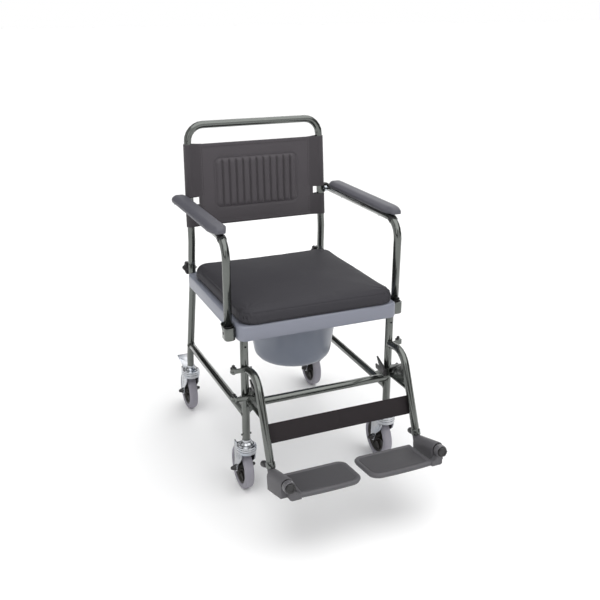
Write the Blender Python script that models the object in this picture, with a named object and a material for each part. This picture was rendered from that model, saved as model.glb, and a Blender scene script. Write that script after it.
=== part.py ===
"""Wheeled commode chair on four swivel castors, in metres.

The chair faces -Y, +X is the right of someone who looks at its front, +Z is up.
The origin is on the floor under the middle of the chair.
"""

import math

import bmesh
import bpy
from mathutils import Matrix, Vector

# Fits
SEAT_GAP = 0.0003
RUNNING_GAP = 0.001
WELD_DEPTH = 0.002

# Round tube
TUBE_R = 0.011
SPIGOT_R = 0.0092
HANGER_TUBE_R = 0.0105
STEM_R = 0.0072
ROUND_STEPS = 4

# Castors
WHEEL_R = 0.0625
TYRE_WIDTH = 0.027
TYRE_DEPTH = 0.015
TYRE_BEAD_INSET = 0.002
TYRE_SHOULDER = 0.007
HUB_WIDTH = 0.020
HUB_BOSS_R = 0.0125
HUB_WEB = 0.006
HUB_BOSS_FILLET = 0.004
HUB_RIM_WALL = 0.006
WHEEL_STEPS = 24
HEAD_STEPS = 16
AXLE_R = 0.004
CASTOR_TRAIL = 0.0354
FORK_INNER_HALF = 0.0185
FORK_PLATE = 0.0030
FORK_TOP = 0.150
FORK_CROWN_R = 0.0265
FORK_CROWN = 0.0215
FORK_EYE_R = 0.0115
FORK_THROAT = 0.020
FORK_LIP = 0.022
FORK_EAR = 0.008
FORK_TOP_PLATE = 0.003
FORK_TOP_REACH = 0.024
FORK_NECK = 0.0146
FORK_WAIST = 0.0093
FORK_LIP_STEP = 0.0088
FORK_CHEEK_DROP = 0.001
HEAD_R = 0.0175
HEAD_BOTTOM = FORK_TOP + SEAT_GAP
HEAD_HEIGHT = 0.0095
HEAD_RIM = 0.0038
HEAD_LEDGE = 0.001
CASTOR_STEM_LENGTH = 0.045
AXLE_CAP_R = 0.0085
AXLE_CAP_LENGTH = 0.0135
AXLE_CAP_TIP_R = 0.0038
AXLE_CAP_ROUND = 0.001
AXLE_CAP_SHOULDER = 0.003
TREAD_FLAT = 0.016

# Brake pedal
PEDAL_WIDTH = 0.040
PEDAL_REACH = 0.060
PEDAL_PLATE = 0.003
PEDAL_PIN_R = 0.0035
PEDAL_BARREL_R = 0.0045
PEDAL_PIN_Z = 0.1430
PEDAL_PIN_BACK = 0.033
PEDAL_RISE = 0.024
PEDAL_KNEE_RISE = 0.0204
PEDAL_TREAD = 0.020

# Legs and posts, with distances behind the front legs
LEG_HALF = 0.2145
LEG_BOTTOM = HEAD_BOTTOM + HEAD_HEIGHT + SEAT_GAP
PAN_FRONT = -0.0155
PAN_DEPTH = 0.4875
POST_INSIDE_PAN = 0.006
POST_SPLAY = 0.0069
POST_RAKE = 0.050
POST_TOP_OUTSET = 0.001
POST_TOP_HALF = LEG_HALF + POST_TOP_OUTSET
POST_FOOT_HALF = POST_TOP_HALF + POST_SPLAY
POST_TOP_BACK = PAN_FRONT + PAN_DEPTH - POST_INSIDE_PAN
POST_FOOT_BACK = POST_TOP_BACK + POST_RAKE
POST_LOW_BEND = 0.195
POST_HIGH_BEND = 0.470
POST_TOP = 0.527
POST_BEND_R = 0.080
SPIGOT_LENGTH = 0.044
SIDE_RAIL_Z = 0.243
CROSSBAR_Z = 0.272
RAIL_GUSSET_REACH = 0.085
RAIL_GUSSET_RISE = 0.058
BAR_GUSSET_REACH = 0.038
BAR_GUSSET_DROP = 0.030
GUSSET_PLATE = 0.003
GUSSET_INSET = 0.0066
COPE_INSET = 0.0045
LEG_SCREW_Z = 0.183
LEG_SCREW_R = 0.003
LEG_SCREW_HEAD = 0.0035

# Upper back frame
BACK_KNEE_Z = 0.600
BACK_TOP_Z = 0.942
BACK_KNEE_INSET = 0.0015
BACK_KNEE_AHEAD = 0.0055
BACK_TAPER = 0.0062
BACK_RECLINE = 0.016
BACK_KNEE_HALF = POST_TOP_HALF - BACK_KNEE_INSET
BACK_KNEE_BACK = POST_TOP_BACK - BACK_KNEE_AHEAD
BACK_TOP_HALF = BACK_KNEE_HALF - BACK_TAPER
BACK_TOP_BACK = BACK_KNEE_BACK + BACK_RECLINE
BACK_CORNER_R = 0.048
BACK_FOOT_BEND = 0.545
BACK_KNEE_R = 0.120

# Back sling
SLING_TOP = 0.888
SLING_BOTTOM = 0.645
SLING_SEAM_INSET = 0.041
SLING_SEAM_HALF = BACK_KNEE_HALF - SLING_SEAM_INSET
SLING_CLOTH = 0.0040
SLEEVE_WALL = 0.0018
SLING_FRONT = 0.0045
RIB_FIELD_HALF = 0.130
RIB_FIELD_TOP = 0.840
RIB_FIELD_BOTTOM = 0.697
RIB_COUNT = 12
RIB_HEIGHT = 0.0030
SLEEVE_TAPER = 0.018
SLEEVE_TAPER_HALF = 0.0075
SLING_HEM = 0.006
RIB_END = 0.007
RIB_FLANK = 0.3
SLEEVE_ANGLES = (35.0, 65.0, 90.0, 115.0)
WINDOW_WIDTH = 0.030
WINDOW_HEIGHT = 0.024

# Seat pan and cushion
PAN_OUTSIDE_LEG = 0.0055
PAN_HALF = LEG_HALF + TUBE_R + PAN_OUTSIDE_LEG
PAN_TOP = 0.5000
PAN_WALL = 0.0030
PAN_SKIRT_BOTTOM = 0.459
PAN_CORNER_R = 0.022
PAN_EDGE_ROUND = 0.007
PAN_LIP = 0.0012
PAN_LIP_HEIGHT = 0.004
PAN_HOLE_HALF_X = 0.105
PAN_HOLE_HALF_Y = 0.130
HOLE_COLLAR = 0.016
HOLE_STEPS = 32
CORNER_STEPS = 5
PAN_POST_ROOM = 0.0006
CUSHION_SIDE_INSET = 0.0095
CUSHION_OVERHANG = 0.0015
CUSHION_REAR_INSET = 0.043
CUSHION_HALF = PAN_HALF - CUSHION_SIDE_INSET
CUSHION_FRONT = PAN_FRONT - CUSHION_OVERHANG
CUSHION_DEPTH = PAN_DEPTH + CUSHION_OVERHANG - CUSHION_REAR_INSET
CUSHION_THICK = 0.044
CUSHION_CORNER_R = 0.042
CUSHION_CROWN = 0.006
CUSHION_WAIST = 0.0035
CUSHION_SIDE_STEPS = 6
CUSHION_CROWN_STEPS = 4
CUSHION_CROWN_END = 0.030
CUSHION_CORNER_LEAST = 0.0084
CUSHION_CROWN_POWER = 1.3
CUSHION_FOOT_INSET = 0.007
CUSHION_EDGE_INSET = 0.001
CUSHION_SHOULDER_INSET = 0.005
CUSHION_TOP_INSET = 0.013

# Seat frame
SEAT_RAIL_Z = PAN_TOP - PAN_WALL - SEAT_GAP - TUBE_R
SEAT_CROSS_R = 0.010
SEAT_CROSS_FRONT_BACK = 0.030
SEAT_CROSS_REAR_AHEAD = 0.028
SEAT_CROSS_REAR_BACK = POST_TOP_BACK - SEAT_CROSS_REAR_AHEAD

# Bucket
BUCKET_BACK = 0.190
BUCKET_RIM_R = 0.148
BUCKET_TOP_R = 0.1345
BUCKET_BOTTOM_R = 0.1125
BUCKET_BOTTOM = 0.303
BUCKET_BOTTOM_FILLET = 0.030
BUCKET_FOOT_STEP = 0.0009
BUCKET_RIM_Z = 0.4645
BUCKET_WALL = 0.0030
BUCKET_STEPS = 32
BUCKET_GATE_TOP = 0.4720
RUNNER_HALF = 0.140
RUNNER_PLATE = 0.0030

# Arms
ARM_OUTSIDE_PAN = 0.0150
ARM_HALF = PAN_HALF + ARM_OUTSIDE_PAN
ARM_FRONT_BACK = 0.028
ARM_FOOT_BACK = 0.031
ARM_FOOT_Z = 0.478
ARM_FOOT_ROOM = 0.0008
ARM_TUBE_Z = 0.7215
ARM_BEND_R = 0.052
ARM_TAIL_BEHIND = 0.034
ARM_TAIL_BACK = POST_TOP_BACK + ARM_TAIL_BEHIND
ARM_COLLAR_R = 0.0085
ARM_PIN_R = 0.0040
ARM_NUT_R = 0.0065
ARM_NUT_LENGTH = 0.005
ARM_NUT_FLAT = 0.003
ARM_CAP_R = 0.01045
ARM_CAP_TIP_R = 0.0078
ARM_CAP_SHOULDER = 0.0057
ARM_CAP_LENGTH = 0.0084
PAD_OUTSET = 0.0055
PAD_HALF = ARM_HALF + PAD_OUTSET
PAD_WIDTH = 0.052
PAD_FRONT = 0.046
PAD_TAIL_AHEAD = 0.018
PAD_LENGTH = POST_TOP_BACK - PAD_TAIL_AHEAD - PAD_FRONT
PAD_THICK = 0.0185
PAD_NOSE = 0.040
SOCKET_BOTTOM = 0.455
SOCKET_TOP = 0.491
SOCKET_WALL = 0.0025
SOCKET_CHAMFER = 0.003
SOCKET_SWING_ROOM = 0.0080
SOCKET_CORNER_R = 0.0087
SOCKET_FOOT_CORNER_R = 0.0072
SLOT_CORNER_R = 0.0096
SOCKET_CORNER_STEPS = 3
SOCKET_BOSS_R = 0.0085
SOCKET_BOSS_Z = 0.473

# Star knobs
STAR_Z = 0.506
STAR_R = 0.022
STAR_LOBES = 6
STAR_THICK = 0.018
STAR_HUB_R = 0.010
STAR_HUB_LENGTH = 0.012
STAR_NOTCH = 0.0045
STAR_POINTS = 6
STUD_R = 0.004

# Footrest hangers
HANGER_PIN_OUTSET = 0.0305
HANGER_INSET = 0.0035
HANGER_PIN_HALF = LEG_HALF + HANGER_PIN_OUTSET
HANGER_HALF = LEG_HALF - HANGER_INSET
HANGER_PIN_R = 0.0050
HANGER_BARREL_R = 0.0085
UPPER_BARREL_Z = 0.376
LOWER_BARREL_Z = 0.293
BARREL_HEIGHT = 0.008
PIN_TIP = 0.005
PIN_BELOW = 0.004
HANGER_STEPS = 4
LUG_PLATE = 0.005
LUG_HALF = 0.009
BRACKET_PLATE = 0.004
BRACKET_HEIGHT = 0.012
BRACKET_AHEAD = 0.0150
BRACKET_EYE_HALF = 0.0034
PIN_TIP_R = 0.004
TUBE_START_AHEAD = 0.0165
TUBE_START_Z = 0.380
TUBE_SHOULDER_AHEAD = 0.08666
TUBE_SHOULDER_Z = 0.391
TUBE_FOOT_AHEAD = 0.176
TUBE_FOOT_Z = 0.177
HANGER_BEND_R = 0.055
WEB_TOP_SETBACK = 0.0138
WEB_TOP_Z = 0.358
WEB_REAR_TOP_Z = 0.3235
WEB_BOTTOM_Z = 0.289
FLANGE_HALF = 0.0065
FLANGE_PLATE = 0.0035
FLANGE_SETBACK = 0.006

# Release lever
LEVER_INSET = 0.0190
LEVER_HALF = HANGER_HALF - LEVER_INSET
LEVER_PIN_AHEAD = 0.026
LEVER_Z = 0.2935
LEVER_HEIGHT = 0.030
LEVER_CLAW = 0.050
LEVER_PLATE = 0.005
LEVER_EAR = 0.004
LEVER_EAR_HALF = 0.006
LEVER_HUB_R = 0.0055
LEVER_HUB_HEIGHT = 0.015
LEVER_TAIL = 0.004
LEVER_TAIL_RISE = 0.0080

# Foot housing and footplate
FOOT_TILT = math.radians(6.5)
FOOT_AXIS_Z = 0.18583
HOUSING_REAR_AHEAD = 0.1868
HOUSING_LENGTH = 0.0952
FOOT_AXIS_AHEAD = HOUSING_REAR_AHEAD + HOUSING_LENGTH / 2
HOUSING_HALF_WIDTH = 0.0170
HOUSING_ABOVE = 0.0185
HOUSING_BELOW = 0.034
HOUSING_DROOP = 0.018
HOUSING_STEM = 0.060
HOUSING_STEM_ROOT = 0.022
HOUSING_ARC_STEPS = 8
KNUCKLE_LENGTH = 0.0205
KNUCKLE_R = 0.0148
BOLT_CAP_LENGTH = 0.0065
BOLT_CAP_R = 0.0112
BOLT_CAP_FACE_R = 0.0094
BOLT_CAP_SIDE = 0.0045
BOLT_R = 0.0045
BOLT_DEPTH = 0.030
PLATE_INSET = 0.0230
PLATE_OUTER_HALF = HANGER_HALF - PLATE_INSET
PLATE_INNER_HALF = 0.0110
PLATE_LENGTH = 0.124
PLATE_THICK = 0.013
PLATE_DROP = 0.036
PLATE_CORNER = 0.024
PLATE_RIM = 0.010
PLATE_RIM_HEIGHT = 0.0015
PLATE_SKIN = 0.001
PLATE_FOOT_ROUND = 0.003
PLATE_EDGE_ROUND = 0.002
PLATE_CORNER_CUT = 0.0084
PLATE_CORNER_INSET = 0.005
ARM_CREST_DROP = 0.0075
ARM_CREST_REACH = 0.0088

# Height knob and strap
KNOB_UP = 0.0075
KNOB_R = 0.0085
KNOB_LENGTH = 0.0355
KNOB_SPLAY = math.radians(8.5)
KNOB_STUD_R = 0.0030
KNOB_NECK_R = 0.0051
KNOB_NECK_LENGTH = 0.0100
KNOB_GRIP_START = 0.0140
KNOB_GRIP_END = 0.0300
KNOB_TIP_R = 0.0060
STRAP_WIDTH = 0.050
STRAP_CLOTH = 0.0025
STRAP_Z = 0.2535
STRAP_TAB = 0.004
STRAP_GAP = 0.0005

# Derived places
LEG_TOP = SEAT_RAIL_Z + TUBE_R
REAR_REACH = POST_FOOT_BACK + CASTOR_TRAIL + WHEEL_R
FRONT_REACH = FOOT_AXIS_AHEAD + (HOUSING_LENGTH / 2 + KNUCKLE_LENGTH + BOLT_CAP_LENGTH)
LEG_Y = (FRONT_REACH - REAR_REACH) / 2
CUSHION_BOTTOM = PAN_TOP + SEAT_GAP

SIDES = {"left": -1, "right": 1}


def srgb(red, green, blue):
    """A colour of the screen, 0 to 255, as the linear values that a shader takes."""
    return tuple((channel / 255) ** 2.2 for channel in (red, green, blue))


# Colour, roughness and metallic value of each finish
FINISHES = {
    "grey_frame": (srgb(107, 110, 105), 0.35, 0.6),
    "zinc": (srgb(205, 207, 212), 0.30, 1.0),
    "black_plastic": (srgb(38, 37, 38), 0.50, 0.0),
    "grey_tyre": (srgb(142, 140, 149), 0.60, 0.0),
    "dark_wheel": (srgb(58, 54, 52), 0.50, 0.0),
    "pan_plastic": (srgb(130, 133, 145), 0.40, 0.0),
    "bucket_plastic": (srgb(118, 124, 137), 0.30, 0.0),
    "pad_foam": (srgb(106, 106, 113), 0.60, 0.0),
    "seat_vinyl": (srgb(76, 75, 79), 0.50, 0.0),
    "back_cloth": (srgb(80, 76, 80), 0.70, 0.0),
    "strap_web": (srgb(56, 53, 58), 0.85, 0.0),
    "footrest_plastic": (srgb(88, 88, 93), 0.55, 0.0),
}


def clear_scene():
    for obj in list(bpy.data.objects):
        bpy.data.objects.remove(obj, do_unlink=True)


def at(side, half, back, z):
    """The point at a distance from the middle plane and behind the front legs."""
    return Vector((side * half, LEG_Y + back, z))


def link(name, data):
    obj = bpy.data.objects.new(name, data)
    bpy.context.scene.collection.objects.link(obj)
    return obj


def object_from(name, bm):
    """Turn a bmesh into a scene object with its faces pointing out."""
    bmesh.ops.recalc_face_normals(bm, faces=bm.faces)
    if bm.calc_volume(signed=True) < 0:
        bmesh.ops.reverse_faces(bm, faces=bm.faces)
    mesh = bpy.data.meshes.new(name)
    bm.to_mesh(mesh)
    bm.free()
    return link(name, mesh)


def evaluated_mesh(obj):
    graph = bpy.context.evaluated_depsgraph_get()
    graph.update()
    return bpy.data.meshes.new_from_object(obj.evaluated_get(graph))


def combine(target, others, operation):
    """Join the others to the target, or cut them out of it, and keep the plain result."""
    for other in others:
        modifier = target.modifiers.new(operation.lower(), "BOOLEAN")
        modifier.operation = operation
        modifier.solver = "EXACT"
        modifier.object = other
    mesh = evaluated_mesh(target)
    target.modifiers.clear()
    target.data = mesh
    for other in others:
        bpy.data.objects.remove(other, do_unlink=True)
    return target


def fuse(target, *others):
    return combine(target, others, "UNION")


def carve(target, *others):
    return combine(target, others, "DIFFERENCE")


def finish(obj, look, origin=None):
    """Give a piece its material and smooth shading, and put its origin on its joint."""
    colour, roughness, metallic = FINISHES[look]
    material = bpy.data.materials.new(obj.name + "_" + look)
    material.use_nodes = True
    shader = material.node_tree.nodes["Principled BSDF"]
    shader.inputs["Base Color"].default_value = (*colour, 1.0)
    shader.inputs["Roughness"].default_value = roughness
    shader.inputs["Metallic"].default_value = metallic
    material.diffuse_color = (*colour, 1.0)
    obj.data.materials.clear()
    obj.data.materials.append(material)
    obj.data.shade_smooth()
    obj.data.set_sharp_from_angle(angle=math.radians(32))
    if origin is not None:
        obj.data.transform(Matrix.Translation(-origin))
        obj.location = origin
    return obj


def rounded(corners, radius, step=math.radians(16)):
    """The line through corners, each inner corner replaced by an arc."""
    line = [corners[0]]
    for before, corner, after in zip(corners, corners[1:], corners[2:]):
        inward = (before - corner).normalized()
        onward = (after - corner).normalized()
        bend = math.pi - inward.angle(onward)
        middle = corner + (inward + onward).normalized() * radius / math.cos(bend / 2)
        spoke = corner + inward * radius * math.tan(bend / 2) - middle
        axis = onward.cross(inward).normalized()
        count = max(2, math.ceil(bend / step))
        for index in range(count + 1):
            line.append(middle + Matrix.Rotation(bend * index / count, 3, axis) @ spoke)
    line.append(corners[-1])
    return line


def tube(name, line, radius, steps=ROUND_STEPS):
    """A round bar along a line, with flat ends."""
    curve = bpy.data.curves.new(name + "_line", "CURVE")
    curve.dimensions = "3D"
    curve.bevel_depth = radius
    curve.bevel_resolution = steps
    curve.use_fill_caps = True
    spline = curve.splines.new("POLY")
    spline.points.add(len(line) - 1)
    for point, place in zip(spline.points, line):
        point.co = (*place, 1.0)
    guide = link(name + "_line", curve)
    bm = bmesh.new()
    bm.from_mesh(evaluated_mesh(guide))
    bmesh.ops.remove_doubles(bm, verts=bm.verts, dist=1e-6)
    bpy.data.objects.remove(guide, do_unlink=True)
    return object_from(name, bm)


def rod(name, start, end, radius, end_radius=None, sides=12):
    """A straight round bar or a cone between two points."""
    along = end - start
    bm = bmesh.new()
    bmesh.ops.create_cone(
        bm,
        cap_ends=True,
        segments=sides,
        radius1=radius,
        radius2=radius if end_radius is None else end_radius,
        depth=along.length,
        matrix=Matrix.Translation((start + end) / 2) @ along.to_track_quat("Z", "Y").to_matrix().to_4x4(),
    )
    return object_from(name, bm)


def loft(name, rings):
    """A closed body through rings of equal count, its two ends filled."""
    bm = bmesh.new()
    loops = [[bm.verts.new(place) for place in ring] for ring in rings]
    for lower, upper in zip(loops, loops[1:]):
        for index, corner in enumerate(lower):
            onward = (index + 1) % len(lower)
            bm.faces.new((corner, lower[onward], upper[onward], upper[index]))
    bm.faces.new(reversed(loops[0]))
    bm.faces.new(loops[-1])
    return object_from(name, bm)


def slab(name, outline, thickness):
    """A flat plate: a flat outline pushed out by a vector."""
    return loft(name, [outline, [place + thickness for place in outline]])


def block(name, low, high):
    """A box between two corners."""
    ring = [(low.x, low.y), (high.x, low.y), (high.x, high.y), (low.x, high.y)]
    outline = [Vector((x, y, low.z)) for x, y in ring]
    return slab(name, outline, Vector((0, 0, high.z - low.z)))


def box_corners(first, second):
    """The lowest and highest corners of the box between two points."""
    low = Vector(tuple(min(pair) for pair in zip(first, second)))
    high = Vector(tuple(max(pair) for pair in zip(first, second)))
    return low, high


def turned(name, profile, origin, axis, steps):
    """A turned body: profile holds (radius, distance along the axis) from end to end."""
    bm = bmesh.new()
    points = [bm.verts.new((radius, 0, along)) for radius, along in profile]
    pairs = list(zip(points, points[1:]))
    if profile[0][0] > 0:
        pairs.append((points[-1], points[0]))
    edges = [bm.edges.new(pair) for pair in pairs]
    bmesh.ops.spin(
        bm, geom=points + edges, cent=(0, 0, 0), axis=(0, 0, 1), angle=2 * math.pi, steps=steps
    )
    bmesh.ops.remove_doubles(bm, verts=bm.verts, dist=1e-6)
    turn = axis.to_track_quat("Z", "Y").to_matrix().to_4x4()
    bm.transform(Matrix.Translation(origin) @ turn)
    return object_from(name, bm)


def rounded_rectangle(half_x, half_y, radius, steps):
    """Points round a rectangle with round corners, centred on the origin."""
    points = []
    for quarter, (sign_x, sign_y) in enumerate(((1, 1), (-1, 1), (-1, -1), (1, -1))):
        for index in range(steps + 1):
            angle = math.pi / 2 * (quarter + index / steps)
            points.append((
                sign_x * (half_x - radius) + radius * math.cos(angle),
                sign_y * (half_y - radius) + radius * math.sin(angle),
            ))
    return points


def build_castor(place, side, half, back, braked):
    """A swivel castor: fixed head, fork, wheel in two parts, and the wheel's axle."""
    swivel = at(side, half, back, 0)
    axle = at(side, half, back + CASTOR_TRAIL, WHEEL_R)
    sideways = Vector((1, 0, 0))

    head_profile = [
        (0, 0),
        (HEAD_R, 0),
        (HEAD_R, HEAD_RIM),
        (TUBE_R + HEAD_LEDGE, HEAD_HEIGHT),
        (SPIGOT_R, HEAD_HEIGHT),
        (SPIGOT_R, HEAD_HEIGHT + CASTOR_STEM_LENGTH),
        (0, HEAD_HEIGHT + CASTOR_STEM_LENGTH),
    ]
    head = turned("castor_head_" + place, head_profile, swivel + Vector((0, 0, HEAD_BOTTOM)),
                  Vector((0, 0, 1)), HEAD_STEPS)
    finish(head, "zinc")

    fork = castor_fork("castor_fork_" + place, swivel, axle, braked)
    finish(fork, "zinc", swivel + Vector((0, 0, FORK_TOP)))

    rim_r = WHEEL_R - TYRE_DEPTH
    tyre_profile = [
        (rim_r, -TYRE_WIDTH / 2 + TYRE_BEAD_INSET),
        (WHEEL_R - TYRE_SHOULDER, -TYRE_WIDTH / 2),
        (WHEEL_R, -TREAD_FLAT / 2),
        (WHEEL_R, TREAD_FLAT / 2),
        (WHEEL_R - TYRE_SHOULDER, TYRE_WIDTH / 2),
        (rim_r, TYRE_WIDTH / 2 - TYRE_BEAD_INSET),
    ]
    finish(turned("castor_tyre_" + place, tyre_profile, axle, sideways, WHEEL_STEPS), "grey_tyre", axle)

    hub_r = rim_r - SEAT_GAP
    web = HUB_WEB / 2
    boss = FORK_INNER_HALF - RUNNING_GAP
    hub_profile = [
        (AXLE_R + SEAT_GAP, -boss),
        (HUB_BOSS_R, -boss),
        (HUB_BOSS_R + HUB_BOSS_FILLET, -web),
        (hub_r - HUB_RIM_WALL, -web),
        (hub_r, -HUB_WIDTH / 2),
        (hub_r, HUB_WIDTH / 2),
        (hub_r - HUB_RIM_WALL, web),
        (HUB_BOSS_R + HUB_BOSS_FILLET, web),
        (HUB_BOSS_R, boss),
        (AXLE_R + SEAT_GAP, boss),
    ]
    finish(turned("castor_hub_" + place, hub_profile, axle, sideways, WHEEL_STEPS), "dark_wheel", axle)

    cheek = FORK_INNER_HALF + FORK_PLATE + SEAT_GAP
    cone = [
        (0, cheek + AXLE_CAP_LENGTH),
        (AXLE_CAP_TIP_R, cheek + AXLE_CAP_LENGTH - AXLE_CAP_ROUND),
        (AXLE_CAP_R, cheek + AXLE_CAP_SHOULDER),
        (AXLE_CAP_R, cheek),
        (AXLE_R, cheek),
    ]
    axle_profile = [(radius, -along) for radius, along in cone] + cone[::-1]
    finish(turned("castor_axle_" + place, axle_profile, axle, sideways, HEAD_STEPS // 2),
           "black_plastic", axle)


def castor_fork(name, swivel, axle, braked):
    """Two cheeks that trail down to the axle, joined by the crown with the ball races."""
    outer = FORK_INNER_HALF + FORK_PLATE
    low = FORK_TOP - FORK_CROWN
    cheek_top = FORK_TOP - FORK_CHEEK_DROP
    eye = [
        (axle.y + FORK_EYE_R * math.cos(angle), axle.z + FORK_EYE_R * math.sin(angle))
        for angle in (math.radians(degrees) for degrees in (20, -20, -60, -100, -140, -180))
    ]
    outline = eye + [
        (axle.y - FORK_THROAT, axle.z + FORK_THROAT),
        (swivel.y - FORK_WAIST, low - FORK_LIP),
        (swivel.y - FORK_NECK, low - FORK_LIP_STEP),
        (swivel.y - FORK_NECK, cheek_top),
        (swivel.y + PEDAL_PIN_BACK + FORK_EAR, cheek_top),
    ]
    crown_low = swivel + Vector((0, 0, low))
    fork = rod(name, crown_low, swivel + Vector((0, 0, FORK_TOP)), FORK_CROWN_R, sides=24)
    cheeks = []
    for hand in (-1, 1):
        inner = swivel.x + (FORK_INNER_HALF if hand > 0 else -outer)
        flat = [Vector((inner, y, z)) for y, z in outline]
        cheeks.append(slab(name + "_cheek", flat, Vector((FORK_PLATE, 0, 0))))
    roof = block(name + "_roof", swivel + Vector((-outer, 0, FORK_TOP - FORK_TOP_PLATE)),
                 swivel + Vector((outer, FORK_TOP_REACH, FORK_TOP)))
    fuse(fork, roof, *cheeks)
    reach = Vector((outer + WELD_DEPTH, 0, 0))
    cuts = [rod(name + "_eye", axle - reach, axle + reach, AXLE_R + SEAT_GAP)]
    if braked:
        pin = pedal_pin(swivel)
        cuts.append(rod(name + "_ear", pin - reach, pin + reach, PEDAL_PIN_R + SEAT_GAP))
    return carve(fork, *cuts)


def pedal_pin(swivel):
    return Vector((swivel.x, swivel.y + PEDAL_PIN_BACK, PEDAL_PIN_Z))


def build_brake(place, side, half, back):
    """The foot pedal: a bent plate on a cross pin between the cheeks of the fork."""
    pin = pedal_pin(at(side, half, back, 0))
    root = Vector((FORK_INNER_HALF - RUNNING_GAP, 0, 0))
    tread = Vector((PEDAL_WIDTH / 2, 0, 0))
    along = Vector((0, PEDAL_REACH - PEDAL_TREAD, PEDAL_KNEE_RISE))
    thickness = Vector((0, PEDAL_PLATE, 0))
    knee = pin + along
    tip = pin + Vector((0, PEDAL_REACH, PEDAL_RISE))
    low = slab("pedal_stalk", [pin - root, pin + root, knee + root, knee - root], thickness)
    drop = Vector((0, 0, -PEDAL_PLATE))
    start = knee - along.normalized() * WELD_DEPTH
    step = slab("brake_pedal_" + place, [start - tread, start + tread, tip + tread, tip - tread], drop)
    reach = Vector((FORK_INNER_HALF + FORK_PLATE, 0, 0))
    fuse(step, low, rod("barrel", pin - root, pin + root, PEDAL_BARREL_R),
         rod("pin", pin - reach, pin + reach, PEDAL_PIN_R, sides=10))
    finish(step, "zinc", pin)


def post_line():
    """The rear post's bent line as (half, back, z), from the castor up."""
    return [
        (POST_FOOT_HALF, POST_FOOT_BACK, LEG_BOTTOM),
        (POST_FOOT_HALF, POST_FOOT_BACK, POST_LOW_BEND),
        (POST_TOP_HALF, POST_TOP_BACK, POST_HIGH_BEND),
        (POST_TOP_HALF, POST_TOP_BACK, POST_TOP),
    ]


def post_place(side, z):
    """The middle of the rear post at a height on its slanted stretch."""
    low, high = post_line()[1:3]
    share = (z - low[2]) / (high[2] - low[2])
    return at(side, low[0] + (high[0] - low[0]) * share, low[1] + (high[1] - low[1]) * share, z)


def post_bar(name, side, radius):
    corners = [at(side, *corner) for corner in post_line()]
    return tube(name, rounded(corners, POST_BEND_R), radius)


def leg_bar(name, side, radius):
    return tube(name, [at(side, LEG_HALF, 0, LEG_BOTTOM), at(side, LEG_HALF, 0, LEG_TOP)], radius)


def stem_bore(side, half, back):
    """The hole in the foot of a leg that takes the castor's stem."""
    start = at(side, half, back, LEG_BOTTOM - WELD_DEPTH)
    depth = Vector((0, 0, CASTOR_STEM_LENGTH + WELD_DEPTH + SEAT_GAP * 2))
    return rod("stem_bore", start, start + depth, SPIGOT_R + SEAT_GAP, sides=16)


def build_rear_post(place, side):
    post = post_bar("rear_post_" + place, side, TUBE_R)
    top = at(side, POST_TOP_HALF, POST_TOP_BACK, POST_TOP)
    bore_depth = Vector((0, 0, SPIGOT_LENGTH + SEAT_GAP))
    bore = rod("bore", top - bore_depth, top + Vector((0, 0, WELD_DEPTH)), SPIGOT_R + SEAT_GAP, sides=16)
    stud = at(side, POST_TOP_HALF, POST_TOP_BACK, STAR_Z)
    stud_hole = rod("hole", stud, stud + Vector((0, TUBE_R * 2, 0)), STUD_R + SEAT_GAP)
    carve(post, stem_bore(side, POST_FOOT_HALF, POST_FOOT_BACK), bore, stud_hole)
    finish(post, "grey_frame")


def build_front_leg(place, side):
    """The leg with the two lugs that carry the footrest hanger, and the cross screw of its castor."""
    leg = leg_bar("front_leg_" + place, side, TUBE_R)
    screw = at(side, LEG_HALF, 0, LEG_SCREW_Z)
    reach = Vector((TUBE_R + LEG_SCREW_HEAD, 0, 0))
    shapes = [rod("screw", screw - reach, screw + reach, LEG_SCREW_R, sides=8)]
    pin_holes = []
    for barrel_z in (UPPER_BARREL_Z, LOWER_BARREL_Z):
        top = barrel_z - SEAT_GAP
        shapes.append(block("lug", *box_corners(
            at(side, LEG_HALF, -LUG_HALF, top - LUG_PLATE), at(side, HANGER_PIN_HALF, LUG_HALF, top),
        )))
        eye = at(side, HANGER_PIN_HALF, 0, top)
        shapes.append(rod("lug_end", eye - Vector((0, 0, LUG_PLATE)), eye, LUG_HALF, sides=16))
        slack = Vector((0, 0, WELD_DEPTH))
        pin_holes.append(rod("pin_hole", eye - Vector((0, 0, LUG_PLATE)) - slack, eye + slack,
                             HANGER_PIN_R + SEAT_GAP))
    fuse(leg, *shapes)
    carve(leg, stem_bore(side, LEG_HALF, 0), *pin_holes)
    finish(leg, "grey_frame")


def build_side_rail(place, side):
    """The low rail from the front leg to the rear post, with a gusset behind the leg."""
    front = at(side, LEG_HALF, 0, SIDE_RAIL_Z)
    rear = post_place(side, SIDE_RAIL_Z)
    along = (rear - front).normalized()
    inset = along * COPE_INSET
    rail = tube("side_rail_" + place, [front + inset, rear - inset], TUBE_R)
    foot = front + along * GUSSET_INSET
    plate = Vector((GUSSET_PLATE, 0, 0))
    outline = [foot - plate / 2, foot - plate / 2 + along * RAIL_GUSSET_REACH,
               foot - plate / 2 + Vector((0, 0, RAIL_GUSSET_RISE))]
    fuse(rail, slab("gusset", outline, plate))
    carve(rail, leg_bar("leg_cope", side, TUBE_R + SEAT_GAP), post_bar("post_cope", side, TUBE_R + SEAT_GAP))
    finish(rail, "grey_frame")


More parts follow.
